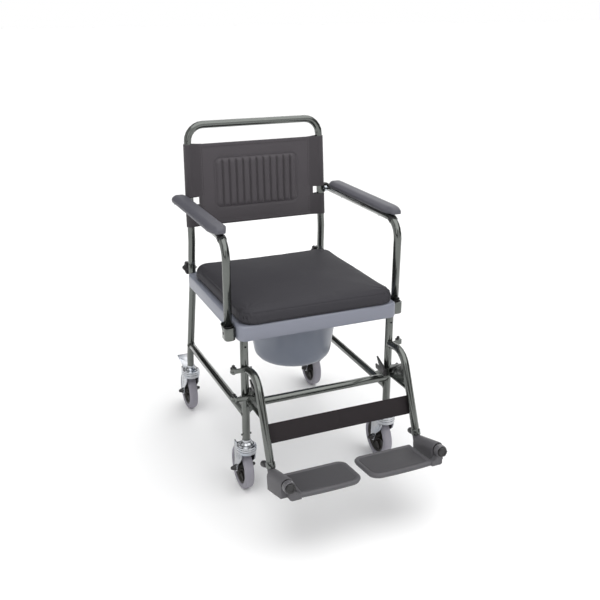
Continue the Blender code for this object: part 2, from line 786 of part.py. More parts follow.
def build_crossbar():
    """The bar between the front legs, with a gusset under each end."""
    left = at(-1, LEG_HALF, 0, CROSSBAR_Z)
    right = at(1, LEG_HALF, 0, CROSSBAR_Z)
    inset = Vector((COPE_INSET, 0, 0))
    bar = tube("crossbar", [left + inset, right - inset], TUBE_R)
    plate = Vector((0, GUSSET_PLATE, 0))
    gussets = []
    for side in SIDES.values():
        foot = at(side, LEG_HALF - GUSSET_INSET, 0, CROSSBAR_Z) - plate / 2
        inward = Vector((-side * BAR_GUSSET_REACH, 0, 0))
        outline = [foot, foot + inward, foot + Vector((0, 0, -BAR_GUSSET_DROP))]
        gussets.append(slab("gusset", outline, plate))
    fuse(bar, *gussets)
    carve(bar, *[leg_bar("leg_cope", side, TUBE_R + SEAT_GAP) for side in SIDES.values()])
    finish(bar, "grey_frame")


def seat_cross_bars(radius):
    """The two cross bars of the seat frame, also used to cut their passage in the pan's runners."""
    bars = []
    for back in (SEAT_CROSS_FRONT_BACK, SEAT_CROSS_REAR_BACK):
        ends = [at(side, LEG_HALF, back, SEAT_RAIL_Z) for side in SIDES.values()]
        bars.append(tube("seat_cross", ends, radius))
    return bars


def seat_side_bars(radius):
    """The two side bars of the seat frame, from leg to post."""
    inset = Vector((0, COPE_INSET, 0))
    bars = []
    for side in SIDES.values():
        front = at(side, LEG_HALF, 0, SEAT_RAIL_Z) + inset
        rear = at(side, POST_TOP_HALF, POST_TOP_BACK, SEAT_RAIL_Z) - inset
        bars.append(tube("seat_frame", [front, rear], radius))
    return bars


def build_seat_frame():
    """The tube frame under the pan: two side bars with two cross bars."""
    frame, other = seat_side_bars(TUBE_R)
    fuse(frame, other, *seat_cross_bars(SEAT_CROSS_R))
    cuts = []
    for side in SIDES.values():
        cuts += [leg_bar("leg_cope", side, TUBE_R + SEAT_GAP), post_bar("post_cope", side, TUBE_R + SEAT_GAP)]
    carve(frame, *cuts)
    frame.name = "seat_frame"
    finish(frame, "grey_frame")


def flat_ring(points, centre, z):
    return [Vector((centre.x + x, centre.y + y, z)) for x, y in points]


def ellipse(half_x, half_y, steps):
    angles = [2 * math.pi * index / steps for index in range(steps)]
    return [(half_x * math.cos(angle), half_y * math.sin(angle)) for angle in angles]


def build_seat_pan():
    """The moulded pan: a plate with a skirt, a hole with a collar, and runners for the bucket."""
    centre = at(0, 0, PAN_FRONT + PAN_DEPTH / 2, 0)
    inside = PAN_TOP - PAN_WALL

    def level(inset, z):
        corner = PAN_CORNER_R - inset
        outline = rounded_rectangle(PAN_HALF - inset, PAN_DEPTH / 2 - inset, corner, CORNER_STEPS)
        return flat_ring(outline, centre, z)

    def skin(inset, top):
        arc = [(inset + PAN_EDGE_ROUND * (1 - math.cos(angle)), top - PAN_EDGE_ROUND * (1 - math.sin(angle)))
               for angle in (0.0, math.pi / 6, math.pi / 3, math.pi / 2)]
        return [level(*place) for place in arc]

    pan = loft("seat_pan", [level(PAN_LIP, PAN_SKIRT_BOTTOM), level(0.0, PAN_SKIRT_BOTTOM + PAN_LIP_HEIGHT)]
               + skin(0.0, PAN_TOP))
    hollow = loft("hollow", [level(PAN_WALL, PAN_SKIRT_BOTTOM - PAN_WALL)] + skin(PAN_WALL, inside))
    carve(pan, hollow)

    hole_centre = at(0, 0, BUCKET_BACK, 0)
    collar_ring = ellipse(PAN_HOLE_HALF_X + PAN_WALL, PAN_HOLE_HALF_Y + PAN_WALL, HOLE_STEPS)
    hole_ring = ellipse(PAN_HOLE_HALF_X, PAN_HOLE_HALF_Y, HOLE_STEPS)
    low = inside - HOLE_COLLAR
    collar = loft("collar", [flat_ring(collar_ring, hole_centre, low),
                             flat_ring(collar_ring, hole_centre, inside + PAN_WALL / 2)])
    runners = []
    web_half = BUCKET_RIM_R + RUNNING_GAP
    shelf = BUCKET_RIM_Z - SEAT_GAP
    for side in SIDES.values():
        web = sorted((side * web_half, side * (web_half + RUNNER_PLATE)))
        lip = sorted((side * RUNNER_HALF, side * (web_half + RUNNER_PLATE)))
        front = PAN_FRONT + PAN_WALL / 2
        rear = PAN_FRONT + PAN_DEPTH - PAN_WALL / 2
        runners.append(block("runner_web", at(1, web[0], front, shelf - RUNNER_PLATE),
                             at(1, web[1], rear, inside + PAN_WALL / 2)))
        runners.append(block("runner_lip", at(1, lip[0], front, shelf - RUNNER_PLATE),
                             at(1, lip[1], rear, shelf)))
    fuse(pan, collar, *runners)

    hole = loft("hole", [flat_ring(hole_ring, hole_centre, low - PAN_WALL),
                         flat_ring(hole_ring, hole_centre, PAN_TOP + PAN_WALL)])
    gate = block("gate", at(1, -web_half, PAN_FRONT + PAN_DEPTH - PAN_WALL * 2, PAN_SKIRT_BOTTOM - PAN_WALL),
                 at(1, web_half, PAN_FRONT + PAN_DEPTH + PAN_WALL, BUCKET_GATE_TOP))
    cuts = [hole, gate] + seat_cross_bars(SEAT_CROSS_R + SEAT_GAP) + seat_side_bars(TUBE_R + SEAT_GAP)
    for side in SIDES.values():
        post = at(side, POST_TOP_HALF, POST_TOP_BACK, PAN_SKIRT_BOTTOM - PAN_WALL)
        cuts.append(rod("post_notch", post, post + Vector((0, 0, PAN_TOP)), TUBE_R + PAN_POST_ROOM))
        leg = at(side, LEG_HALF, 0, PAN_SKIRT_BOTTOM - PAN_WALL)
        leg_end = Vector((leg.x, leg.y, LEG_TOP + SEAT_GAP / 2))
        cuts.append(rod("leg_notch", leg, leg_end, TUBE_R + PAN_POST_ROOM))
        boss = at(side, PAN_HALF - PAN_WALL * 2, ARM_FOOT_BACK, SOCKET_BOSS_Z)
        cuts.append(rod("boss_hole", boss, boss + Vector((side * PAN_WALL * 4, 0, 0)),
                        SOCKET_BOSS_R + SEAT_GAP))
    carve(pan, *cuts)
    finish(pan, "pan_plastic")


def cushion_ring(inset, z, waist):
    """One level line of the cushion: its sides are drawn in between the corners."""
    half_x = CUSHION_HALF - inset
    half_y = CUSHION_DEPTH / 2 - inset
    radius = max(CUSHION_CORNER_R - inset, CUSHION_CORNER_LEAST)
    centre = at(0, 0, CUSHION_FRONT + CUSHION_DEPTH / 2, z)
    corners = rounded_rectangle(half_x, half_y, radius, CORNER_STEPS)
    ring = []
    for number, (start, end) in enumerate(zip(corners, corners[1:] + corners[:1])):
        ring.append(start)
        if number % (CORNER_STEPS + 1) == CORNER_STEPS:
            for index in range(1, CUSHION_SIDE_STEPS):
                share = index / CUSHION_SIDE_STEPS
                ring.append(tuple(a + (b - a) * share for a, b in zip(start, end)))
    drawn = []
    for x, y in ring:
        pull_x = waist * (1 - (y / half_y) ** 2) * (abs(x) / half_x)
        pull_y = waist * (1 - (x / half_x) ** 2) * (abs(y) / half_y)
        drawn.append(Vector((centre.x + x - math.copysign(pull_x, x),
                             centre.y + y - math.copysign(pull_y, y), z)))
    return drawn


def build_cushion():
    """The padded seat: a flat base, bulging sides that are drawn in, and a low crown."""
    side_height = CUSHION_THICK - CUSHION_CROWN
    sides = [
        (CUSHION_FOOT_INSET, 0.0), (CUSHION_EDGE_INSET, 0.10), (0.0, 0.28), (CUSHION_EDGE_INSET, 0.62),
        (CUSHION_SHOULDER_INSET, 0.86), (CUSHION_TOP_INSET, 1.0),
    ]
    rings = []
    for inset, share in sides:
        rings.append(cushion_ring(inset, CUSHION_BOTTOM + side_height * share, CUSHION_WAIST))
    top = CUSHION_BOTTOM + side_height
    inner = CUSHION_HALF - CUSHION_CROWN_END
    for index in range(1, CUSHION_CROWN_STEPS + 1):
        share = index / CUSHION_CROWN_STEPS
        rise = CUSHION_CROWN * math.sin(share * math.pi / 2)
        inset = CUSHION_TOP_INSET + (inner - CUSHION_TOP_INSET) * share ** CUSHION_CROWN_POWER
        rings.append(cushion_ring(inset, top + rise, CUSHION_WAIST * (1 - share)))
    origin = at(0, 0, CUSHION_FRONT + CUSHION_DEPTH / 2, CUSHION_BOTTOM)
    finish(loft("seat_cushion", rings), "seat_vinyl", origin)


def build_bucket():
    rim_top = BUCKET_RIM_Z + BUCKET_WALL
    wall = BUCKET_WALL
    floor_fillet = [
        (BUCKET_BOTTOM_R - BUCKET_BOTTOM_FILLET * (1 - math.sin(angle)),
         BUCKET_BOTTOM + BUCKET_BOTTOM_FILLET * (1 - math.cos(angle)))
        for angle in (0.0, math.pi / 6, math.pi / 3, math.pi * 0.47)
    ]
    (foot_r, foot_z), *rounding = floor_fillet
    inner_fillet = [(foot_r - BUCKET_FOOT_STEP, foot_z + wall)]
    inner_fillet += [(radius - wall, z + wall) for radius, z in rounding]
    profile = [(0, BUCKET_BOTTOM)] + floor_fillet + [
        (BUCKET_TOP_R, BUCKET_RIM_Z),
        (BUCKET_RIM_R, BUCKET_RIM_Z),
        (BUCKET_RIM_R, rim_top),
        (BUCKET_TOP_R - wall, rim_top),
    ] + inner_fillet[::-1] + [(0, BUCKET_BOTTOM + wall)]
    origin = at(0, 0, BUCKET_BACK, 0)
    finish(turned("bucket", profile, origin, Vector((0, 0, 1)), BUCKET_STEPS), "bucket_plastic", origin)


def back_line(side):
    """One side of the upper back frame, from the joint with the post to its top corner."""
    return [
        at(side, POST_TOP_HALF, POST_TOP_BACK, POST_TOP + SEAT_GAP),
        at(side, POST_TOP_HALF, POST_TOP_BACK, BACK_FOOT_BEND),
        at(side, BACK_KNEE_HALF, BACK_KNEE_BACK, BACK_KNEE_Z),
        at(side, BACK_TOP_HALF, BACK_TOP_BACK, BACK_TOP_Z),
    ]


def back_place(side, z):
    """The middle of the back frame's tube at a height on its reclined stretch."""
    low, high = back_line(side)[2:]
    return low + (high - low) * (z - low.z) / (high.z - low.z)


def back_bar(name, radius):
    corners = back_line(-1) + back_line(1)[::-1]
    knees = rounded(corners[:4], BACK_KNEE_R)[:-1]
    far_knees = rounded(corners[4:], BACK_KNEE_R)[1:]
    crown = rounded([corners[2], corners[3], corners[4], corners[5]], BACK_CORNER_R)[1:-1]
    return tube(name, knees + crown + far_knees, radius)


def pivot_bore(side, start_half, end_half, radius):
    """A round hole along the arm's pivot."""
    middle = back_place(side, ARM_TUBE_Z)
    start = Vector((side * start_half, middle.y, middle.z))
    return rod("pivot_bore", start, Vector((side * end_half, middle.y, middle.z)), radius)


def build_back_frame():
    frame = back_bar("back_frame", TUBE_R)
    spigots = []
    bores = []
    for side in SIDES.values():
        joint = at(side, POST_TOP_HALF, POST_TOP_BACK, POST_TOP)
        spigots.append(rod("spigot", joint - Vector((0, 0, SPIGOT_LENGTH)), joint + Vector((0, 0, TUBE_R)),
                           SPIGOT_R, sides=16))
        tube_half = abs(back_place(side, ARM_TUBE_Z).x)
        bores.append(pivot_bore(side, tube_half - SEAT_GAP, tube_half + TUBE_R * 2, ARM_PIN_R + SEAT_GAP))
    fuse(frame, *spigots)
    carve(frame, *bores)
    finish(frame, "grey_frame", at(0, 0, POST_TOP_BACK, POST_TOP))


def sling_section(z, ribbed):
    """Front and back points of the sling at one height, from the left edge to the right."""
    tube_place = back_place(1, z)
    sleeve = TUBE_R + SLEEVE_WALL
    panel = -SLING_FRONT
    half_cloth = SLING_CLOTH / 2
    edge = (tube_place.x + sleeve, 0.0, half_cloth, half_cloth)
    half = [edge]
    for angle in SLEEVE_ANGLES:
        turn = math.radians(angle)
        rise = sleeve * math.sin(turn)
        half.append((tube_place.x + sleeve * math.cos(turn), 0.0, rise, rise))
    half.append((SLING_SEAM_HALF + SLEEVE_TAPER, panel, SLEEVE_TAPER_HALF, SLEEVE_TAPER_HALF))
    half.append((SLING_SEAM_HALF, panel, half_cloth, half_cloth))
    pitch = 2 * RIB_FIELD_HALF / RIB_COUNT
    crest = half_cloth + ribbed * RIB_HEIGHT
    for rib in range(RIB_COUNT // 2):
        outer = RIB_FIELD_HALF - pitch * rib
        half.append((outer, panel, half_cloth, half_cloth))
        half.append((outer - pitch * RIB_FLANK, panel, crest, half_cloth))
        half.append((outer - pitch * (1 - RIB_FLANK), panel, crest, half_cloth))
    mirrored = [(-x, *rest) for x, *rest in half]
    columns = mirrored + [(0.0, panel, half_cloth, half_cloth)] + half[::-1]
    front_line = [Vector((x, tube_place.y + middle - ahead, z)) for x, middle, ahead, _ in columns]
    rear_line = [Vector((x, tube_place.y + middle + behind, z)) for x, middle, _, behind in columns]
    return front_line, rear_line


def build_sling():
    """The back cloth: two sleeves on the tubes, one layer between them, and an embossed field of ribs."""
    levels = [
        (SLING_BOTTOM, 0), (SLING_BOTTOM + SLING_HEM, 0), (RIB_FIELD_BOTTOM, 0),
        (RIB_FIELD_BOTTOM + RIB_END, 1), (RIB_FIELD_TOP - RIB_END, 1), (RIB_FIELD_TOP, 0),
        (SLING_TOP - SLING_HEM, 0), (SLING_TOP, 0),
    ]
    rings = []
    for z, ribbed in levels:
        front_line, rear_line = sling_section(z, ribbed)
        rings.append(front_line + rear_line[::-1])
    sling = loft("back_sling", rings)
    cuts = [back_bar("sleeve_bore", TUBE_R + SEAT_GAP)]
    for side in SIDES.values():
        middle = back_place(side, ARM_TUBE_Z)
        reach = Vector((0, TUBE_R * 2, WINDOW_HEIGHT / 2))
        inner = middle - Vector((side * WINDOW_WIDTH, 0, 0)) - reach
        outer = middle + Vector((side * TUBE_R * 2, 0, 0)) + reach
        cuts.append(block("window", *box_corners(inner, outer)))
    carve(sling, *cuts)
    finish(sling, "back_cloth")


def arm_pivot_place(side):
    """Where the arm tube's middle line meets its pivot."""
    return Vector((side * ARM_HALF, back_place(side, ARM_TUBE_Z).y, ARM_TUBE_Z))


def arm_line(side):
    return [
        at(side, ARM_HALF, ARM_FOOT_BACK, ARM_FOOT_Z),
        at(side, ARM_HALF, ARM_FRONT_BACK, ARM_TUBE_Z),
        at(side, ARM_HALF, ARM_TAIL_BACK, ARM_TUBE_Z),
    ]


def arm_bar(name, side, radius):
    return tube(name, rounded(arm_line(side), ARM_BEND_R), radius)


def build_arm(place, side):
    arm = arm_bar("arm_tube_" + place, side, TUBE_R)
    tail = arm_line(side)[2]
    cap_profile = [(0, ARM_CAP_LENGTH), (ARM_CAP_TIP_R, ARM_CAP_SHOULDER), (ARM_CAP_R, 0),
                   (ARM_CAP_R, -WELD_DEPTH), (0, -WELD_DEPTH)]
    cap = turned("cap", cap_profile, tail, Vector((0, 1, 0)), HEAD_STEPS)
    fuse(arm, cap)
    carve(arm, pivot_bore(side, ARM_HALF - TUBE_R * 2, ARM_HALF + TUBE_R * 2, ARM_PIN_R + SEAT_GAP))
    finish(arm, "grey_frame", arm_pivot_place(side))


def build_arm_pad(place, side):
    """The moulded pad: a flat base, a chamfered crown and rounded, pointed ends."""
    bottom = ARM_TUBE_Z + TUBE_R + SEAT_GAP
    half = PAD_WIDTH / 2
    # Share of the nose, then the shares of the full width and height there
    stations = [(0.0, 0.32, 0.45), (0.10, 0.55, 0.72), (0.35, 0.80, 0.92), (0.70, 0.95, 1.0), (1.0, 1.0, 1.0)]
    ends = [(PAD_FRONT + PAD_NOSE * share, width, height) for share, width, height in stations]
    tail = PAD_FRONT + PAD_LENGTH
    ends += [(tail - PAD_NOSE * share, width, height) for share, width, height in stations[::-1]]
    # Share of the half width, then share of the thickness
    flank = [(0.80, 0.0), (1.0, 0.16), (1.0, 0.42), (0.90, 0.62), (0.55, 0.92), (0.35, 1.0)]
    section = [(-x, z) for x, z in flank] + flank[::-1]
    rings = []
    for back, width, height in ends:
        rings.append([
            at(1, side * PAD_HALF + x * half * width, back, bottom + z * PAD_THICK * height)
            for x, z in section
        ])
    finish(loft("arm_pad_" + place, rings), "pad_foam", arm_pivot_place(side))


def build_arm_pivot(place, side):
    """The bolt that the arm turns on: a collar between the two tubes and a nut outside the arm."""
    middle = back_place(side, ARM_TUBE_Z)
    inner = abs(middle.x)
    collar_start = inner + TUBE_R + SEAT_GAP
    collar_end = ARM_HALF - TUBE_R - SEAT_GAP
    nut_start = ARM_HALF + TUBE_R + SEAT_GAP
    profile = [
        (0, inner),
        (ARM_PIN_R, inner),
        (ARM_PIN_R, collar_start),
        (ARM_COLLAR_R, collar_start),
        (ARM_COLLAR_R, collar_end),
        (ARM_PIN_R, collar_end),
        (ARM_PIN_R, nut_start),
        (ARM_NUT_R, nut_start),
        (ARM_NUT_R, nut_start + ARM_NUT_FLAT),
        (0, nut_start + ARM_NUT_LENGTH),
    ]
    origin = Vector((0, middle.y, middle.z))
    finish(turned("arm_pivot_" + place, profile, origin, Vector((side, 0, 0)), HEAD_STEPS), "zinc", None)


def build_arm_socket(place, side):
    """The cup for the arm's foot, with room ahead of it for the swing, on a boss through the pan's skirt."""
    foot = arm_line(side)[0]
    slot_half = TUBE_R + RUNNING_GAP
    outer_half = slot_half + SOCKET_WALL
    front = foot.y - slot_half - SOCKET_SWING_ROOM
    rear = foot.y + slot_half + RUNNING_GAP
    middle = Vector((foot.x, (front + rear) / 2, 0))
    length = (rear - front) / 2
    cup_ring = rounded_rectangle(outer_half, length + SOCKET_WALL, SOCKET_CORNER_R, SOCKET_CORNER_STEPS)
    foot_ring = rounded_rectangle(outer_half - SOCKET_CHAMFER, length + SOCKET_WALL - SOCKET_CHAMFER,
                                  SOCKET_FOOT_CORNER_R, SOCKET_CORNER_STEPS)
    slot_ring = rounded_rectangle(slot_half, length, SLOT_CORNER_R, SOCKET_CORNER_STEPS)
    socket = loft("arm_socket_" + place, [
        flat_ring(foot_ring, middle, SOCKET_BOTTOM),
        flat_ring(cup_ring, middle, SOCKET_BOTTOM + SOCKET_CHAMFER),
        flat_ring(cup_ring, middle, SOCKET_TOP),
    ])
    boss_start = Vector((side * (LEG_HALF + TUBE_R + SEAT_GAP), foot.y, SOCKET_BOSS_Z))
    boss_end = Vector((foot.x - side * slot_half, foot.y, SOCKET_BOSS_Z))
    fuse(socket, rod("boss", boss_start, boss_end, SOCKET_BOSS_R))
    slot = loft("slot", [flat_ring(slot_ring, middle, ARM_FOOT_Z - ARM_FOOT_ROOM),
                         flat_ring(slot_ring, middle, SOCKET_TOP + SOCKET_WALL)])
    carve(socket, slot)
    finish(socket, "grey_frame")


def build_star_knob(place, side):
    """A lobed hand knob behind the post; its stud reaches the spigot inside."""
    middle = at(side, POST_TOP_HALF, POST_TOP_BACK, STAR_Z)
    rearward = Vector((0, 1, 0))
    start = middle + rearward * (TUBE_R + SEAT_GAP)
    knob_start = start + rearward * STAR_HUB_LENGTH
    outline = []
    for index in range(STAR_LOBES * STAR_POINTS):
        angle = 2 * math.pi * index / (STAR_LOBES * STAR_POINTS)
        radius = STAR_R - STAR_NOTCH * (0.5 - 0.5 * math.cos(angle * STAR_LOBES))
        outline.append(Vector((radius * math.cos(angle), 0, radius * math.sin(angle))))
    # Share of the thickness, then share of the size there
    levels = [(0.0, 0.94), (0.15, 1.0), (0.75, 1.0), (1.0, 0.82)]
    knob = loft("star_knob_" + place, [
        [knob_start + spoke * size + rearward * STAR_THICK * share for spoke in outline]
        for share, size in levels
    ])
    fuse(knob, rod("hub", start, knob_start + rearward * WELD_DEPTH, STAR_HUB_R, sides=16),
         rod("stud", middle + rearward * (SPIGOT_R + SEAT_GAP), start + rearward * WELD_DEPTH, STUD_R))
    finish(knob, "black_plastic", middle)


def hanger_line(side):
    """The hanger tube's corners: over the shoulder, then down to its foot."""
    return [
        at(side, HANGER_HALF, -TUBE_START_AHEAD, TUBE_START_Z),
        at(side, HANGER_HALF, -TUBE_SHOULDER_AHEAD, TUBE_SHOULDER_Z),
        at(side, HANGER_HALF, -TUBE_FOOT_AHEAD, TUBE_FOOT_Z),
    ]


def hanger_place(side, z):
    """The middle of the hanger tube at a height on its straight lower stretch."""
    high, low = hanger_line(side)[1:]
    return low + (high - low) * (z - low.z) / (high.z - low.z)


def hanger_down(side):
    high, low = hanger_line(side)[1:]
    return (low - high).normalized()


def knob_place(side):
    """Where the height knob's stud meets the middle of the hanger tube."""
    return hanger_line(side)[2] - hanger_down(side) * KNOB_UP


def hanger_rear(side):
    """Square to the tube, pointing back."""
    return Vector((1, 0, 0)).cross(hanger_down(side))


def knob_direction(side):
    """Square to the tube, pointing back and a little outward."""
    return hanger_rear(side) * math.cos(KNOB_SPLAY) + Vector((side * math.sin(KNOB_SPLAY), 0, 0))


def bracket_bar(side, barrel_z):
    """The flat bar of a hanger bracket: round the front of the leg, from the tube to the pivot barrel."""
    inner = HANGER_HALF - HANGER_TUBE_R
    near = BRACKET_AHEAD
    far = near + BRACKET_PLATE
    eye_inner = HANGER_PIN_HALF - BRACKET_EYE_HALF
    eye_outer = HANGER_PIN_HALF + BRACKET_EYE_HALF
    corners = [(inner, near), (eye_inner, near), (eye_inner, 0), (eye_outer, 0), (eye_outer, near),
               (HANGER_PIN_HALF, far), (inner, far)]
    outline = [at(side, half, -ahead, barrel_z) for half, ahead in corners]
    return slab("bracket", outline, Vector((0, 0, BRACKET_HEIGHT)))


def build_hanger(place, side):
    """The footrest hanger: tube, two brackets with pivot barrels and pins, and the web between them."""
    corners = hanger_line(side)
    hanger = tube("hanger_" + place, rounded(corners, HANGER_BEND_R), HANGER_TUBE_R, HANGER_STEPS)
    shapes = []
    for barrel_z in (UPPER_BARREL_Z, LOWER_BARREL_Z):
        foot = at(side, HANGER_PIN_HALF, 0, barrel_z)
        top = foot + Vector((0, 0, BARREL_HEIGHT))
        pin_low = foot - Vector((0, 0, LUG_PLATE + SEAT_GAP + PIN_BELOW))
        shapes.append(bracket_bar(side, barrel_z))
        pin_high = top + Vector((0, 0, PIN_TIP))
        shapes.append(rod("barrel", foot, top, HANGER_BARREL_R, sides=12))
        shapes.append(rod("pin", pin_low, pin_high, HANGER_PIN_R, PIN_TIP_R, sides=10))
    plate = Vector((BRACKET_PLATE, 0, 0))
    lean = -plate / 2
    web = [
        at(side, HANGER_HALF, -BRACKET_AHEAD - SEAT_GAP, WEB_BOTTOM_Z) + lean,
        hanger_place(side, WEB_BOTTOM_Z) + lean,
        hanger_place(side, WEB_TOP_Z) + lean,
        at(side, HANGER_HALF, -BRACKET_AHEAD - WEB_TOP_SETBACK, WEB_REAR_TOP_Z) + lean,
        at(side, HANGER_HALF, -BRACKET_AHEAD - SEAT_GAP, LOWER_BARREL_Z + BRACKET_HEIGHT) + lean,
    ]
    shapes.append(slab("web", web, plate))
    flange_rear = at(side, HANGER_HALF - FLANGE_HALF, -BRACKET_AHEAD - FLANGE_SETBACK, WEB_BOTTOM_Z)
    flange_front = hanger_place(side, WEB_BOTTOM_Z) + Vector((side * FLANGE_HALF, 0, FLANGE_PLATE))
    shapes.append(block("flange", *box_corners(flange_rear, flange_front)))
    ear_root = at(side, HANGER_HALF, -LEVER_PIN_AHEAD - LEVER_EAR_HALF, LEVER_Z - SEAT_GAP)
    ear_end = at(side, LEVER_HALF - LEVER_EAR_HALF, -LEVER_PIN_AHEAD + LEVER_EAR_HALF, LEVER_Z - SEAT_GAP)
    shapes.append(block("ear", *box_corners(ear_root, ear_end - Vector((0, 0, LEVER_EAR)))))
    fuse(hanger, *shapes)
    down = hanger_down(side)
    bore_start = corners[2] + down * WELD_DEPTH
    bore = rod("stem_bore", bore_start, corners[2] - down * HOUSING_STEM, STEM_R + SEAT_GAP, sides=12)
    knob = knob_place(side)
    hole = rod("knob_hole", knob, knob + knob_direction(side) * HANGER_TUBE_R * 2, KNOB_STUD_R + SEAT_GAP)
    carve(hanger, bore, hole)
    finish(hanger, "grey_frame", at(side, HANGER_PIN_HALF, 0, LOWER_BARREL_Z))


def lever_place(side):
    return at(side, LEVER_HALF, -LEVER_PIN_AHEAD, LEVER_Z)


def build_release_lever(place, side):
    """The latch lever inside the leg: two claws on a hub that turns on the hanger's ear."""
    pin = lever_place(side)
    # Shares of the claw's reach and of the lever's height, round the two claws
    points = [(1.0, 0.0), (1.05, 0.42), (0.55, 0.34), (0.95, 1.27), (0.30, 0.82)]
    claw = [(LEVER_TAIL, 0.0)]
    claw += [(-LEVER_CLAW * reach, LEVER_HEIGHT * rise) for reach, rise in points]
    claw.append((LEVER_TAIL, LEVER_TAIL_RISE))
    outline = [Vector((pin.x - LEVER_PLATE / 2, pin.y - reach, pin.z + rise)) for reach, rise in claw]
    lever = slab("release_lever_" + place, outline, Vector((LEVER_PLATE, 0, 0)))
    fuse(lever, rod("hub", pin, pin + Vector((0, 0, LEVER_HUB_HEIGHT)), LEVER_HUB_R, sides=12))
    finish(lever, "black_plastic", pin)


def foot_frame(side):
    """The footrest's own axes: its hinge's middle, forward and up, tilted with the toes."""
    middle = at(side, HANGER_HALF, -FOOT_AXIS_AHEAD, FOOT_AXIS_Z)
    forward = Vector((0, -math.cos(FOOT_TILT), math.sin(FOOT_TILT)))
    upward = Vector((0, math.sin(FOOT_TILT), math.cos(FOOT_TILT)))
    return middle, forward, upward


def build_foot_housing(place, side):
    """The moulded housing: round over the hinge bolt, with a stem up into the hanger tube."""
    middle, forward, upward = foot_frame(side)
    section = [(-1.0, -HOUSING_BELOW), (1.0, -HOUSING_BELOW)]
    for index in range(HOUSING_ARC_STEPS + 1):
        angle = math.pi * index / HOUSING_ARC_STEPS
        section.append((math.cos(angle), HOUSING_ABOVE - HOUSING_HALF_WIDTH * (1 - math.sin(angle))))
    rings = []
    # Share of the housing's length, then share of its section there
    for share, size in ((0.0, 1.0), (0.97, 1.0), (1.0, 0.94)):
        centre = middle + forward * HOUSING_LENGTH * (share - 0.5) - upward * HOUSING_DROOP * (1 - share)
        rings.append([
            centre + upward * rise * size + Vector((across * HOUSING_HALF_WIDTH * size, 0, 0))
            for across, rise in section
        ])
    housing = loft("foot_housing_" + place, rings)
    down = hanger_down(side)
    tube_end = hanger_line(side)[2]
    stem_low = tube_end + down * HOUSING_STEM_ROOT
    collar_top = tube_end + down * SEAT_GAP
    fuse(
        housing,
        rod("stem", stem_low, tube_end - down * (HOUSING_STEM - RUNNING_GAP), STEM_R, sides=12),
        rod("collar", stem_low, collar_top, HANGER_TUBE_R, sides=12),
    )
    front = middle + forward * (HOUSING_LENGTH / 2 + WELD_DEPTH)
    bore = rod("bolt_bore", front - forward * (BOLT_DEPTH + WELD_DEPTH + SEAT_GAP), front, BOLT_R + SEAT_GAP)
    carve(housing, bore)
    finish(housing, "footrest_plastic", middle)


def build_footplate(place, side):
    """The folding plate with a raised rim, and the knuckle that turns on the hinge bolt."""
    middle, forward, upward = foot_frame(side)
    lowest = middle - upward * PLATE_DROP
    rear = HOUSING_LENGTH / 2 + KNUCKLE_LENGTH - PLATE_LENGTH

    def ring(inset, rise):
        outer = PLATE_OUTER_HALF - inset
        inner = PLATE_INNER_HALF + inset
        back = rear + inset
        front = HOUSING_LENGTH / 2 + KNUCKLE_LENGTH - inset
        corner = PLATE_CORNER - inset
        cut_across = inner + PLATE_CORNER_INSET * corner / PLATE_CORNER
        cut_along = PLATE_CORNER_CUT * corner / PLATE_CORNER
        places = [
            (outer, back), (inner + corner, back), (cut_across, back + cut_along),
            (inner, back + corner), (inner, front - corner), (cut_across, front - cut_along),
            (inner + corner, front), (outer, front),
        ]
        return [lowest + forward * along + upward * rise + Vector((side * half - middle.x, 0, 0))
                for half, along in places]

    plate = loft("footplate_" + place, [
        ring(PLATE_FOOT_ROUND, 0.0), ring(0.0, PLATE_FOOT_ROUND), ring(0.0, PLATE_THICK - PLATE_EDGE_ROUND),
        ring(PLATE_EDGE_ROUND, PLATE_THICK), ring(PLATE_RIM, PLATE_THICK),
        ring(PLATE_RIM + PLATE_EDGE_ROUND, PLATE_THICK - PLATE_RIM_HEIGHT),
    ])
    start = middle + forward * (HOUSING_LENGTH / 2 + SEAT_GAP)
    end = middle + forward * (HOUSING_LENGTH / 2 + KNUCKLE_LENGTH)
    knuckle = rod("knuckle", start, end, KNUCKLE_R, sides=20)
    reach = Vector((side * (PLATE_OUTER_HALF - HANGER_HALF - WELD_DEPTH * 2), 0, 0))
    skin = forward * PLATE_SKIN
    under = upward * (PLATE_SKIN - PLATE_DROP)
    over = upward * (PLATE_THICK - PLATE_SKIN * 2 - PLATE_DROP)
    arm_outline = [
        start + skin + under + reach,
        start + skin + under,
        start + skin,
        start + skin - upward * ARM_CREST_DROP - Vector((side * ARM_CREST_REACH, 0, 0)),
        start + skin + over + reach,
    ]
    arm = slab("arm", arm_outline, end - start - skin * 2)
    fuse(plate, knuckle, arm)
    bore = rod("bore", start - forward * WELD_DEPTH, end + forward * WELD_DEPTH, BOLT_R + SEAT_GAP)
    carve(plate, bore)
    finish(plate, "footrest_plastic", middle)


def build_foot_bolt(place, side):
    """The hinge bolt with its round cap in front of the footplate's knuckle."""
    middle, forward, _ = foot_frame(side)
    seat = HOUSING_LENGTH / 2 + KNUCKLE_LENGTH + SEAT_GAP
    profile = [
        (0, HOUSING_LENGTH / 2 - BOLT_DEPTH),
        (BOLT_R, HOUSING_LENGTH / 2 - BOLT_DEPTH),
        (BOLT_R, seat),
        (BOLT_CAP_R, seat),
        (BOLT_CAP_R, seat + BOLT_CAP_SIDE),
        (BOLT_CAP_FACE_R, seat + BOLT_CAP_LENGTH),
        (0, seat + BOLT_CAP_LENGTH),
    ]
    finish(turned("foot_bolt_" + place, profile, middle, forward, HEAD_STEPS), "black_plastic", middle)


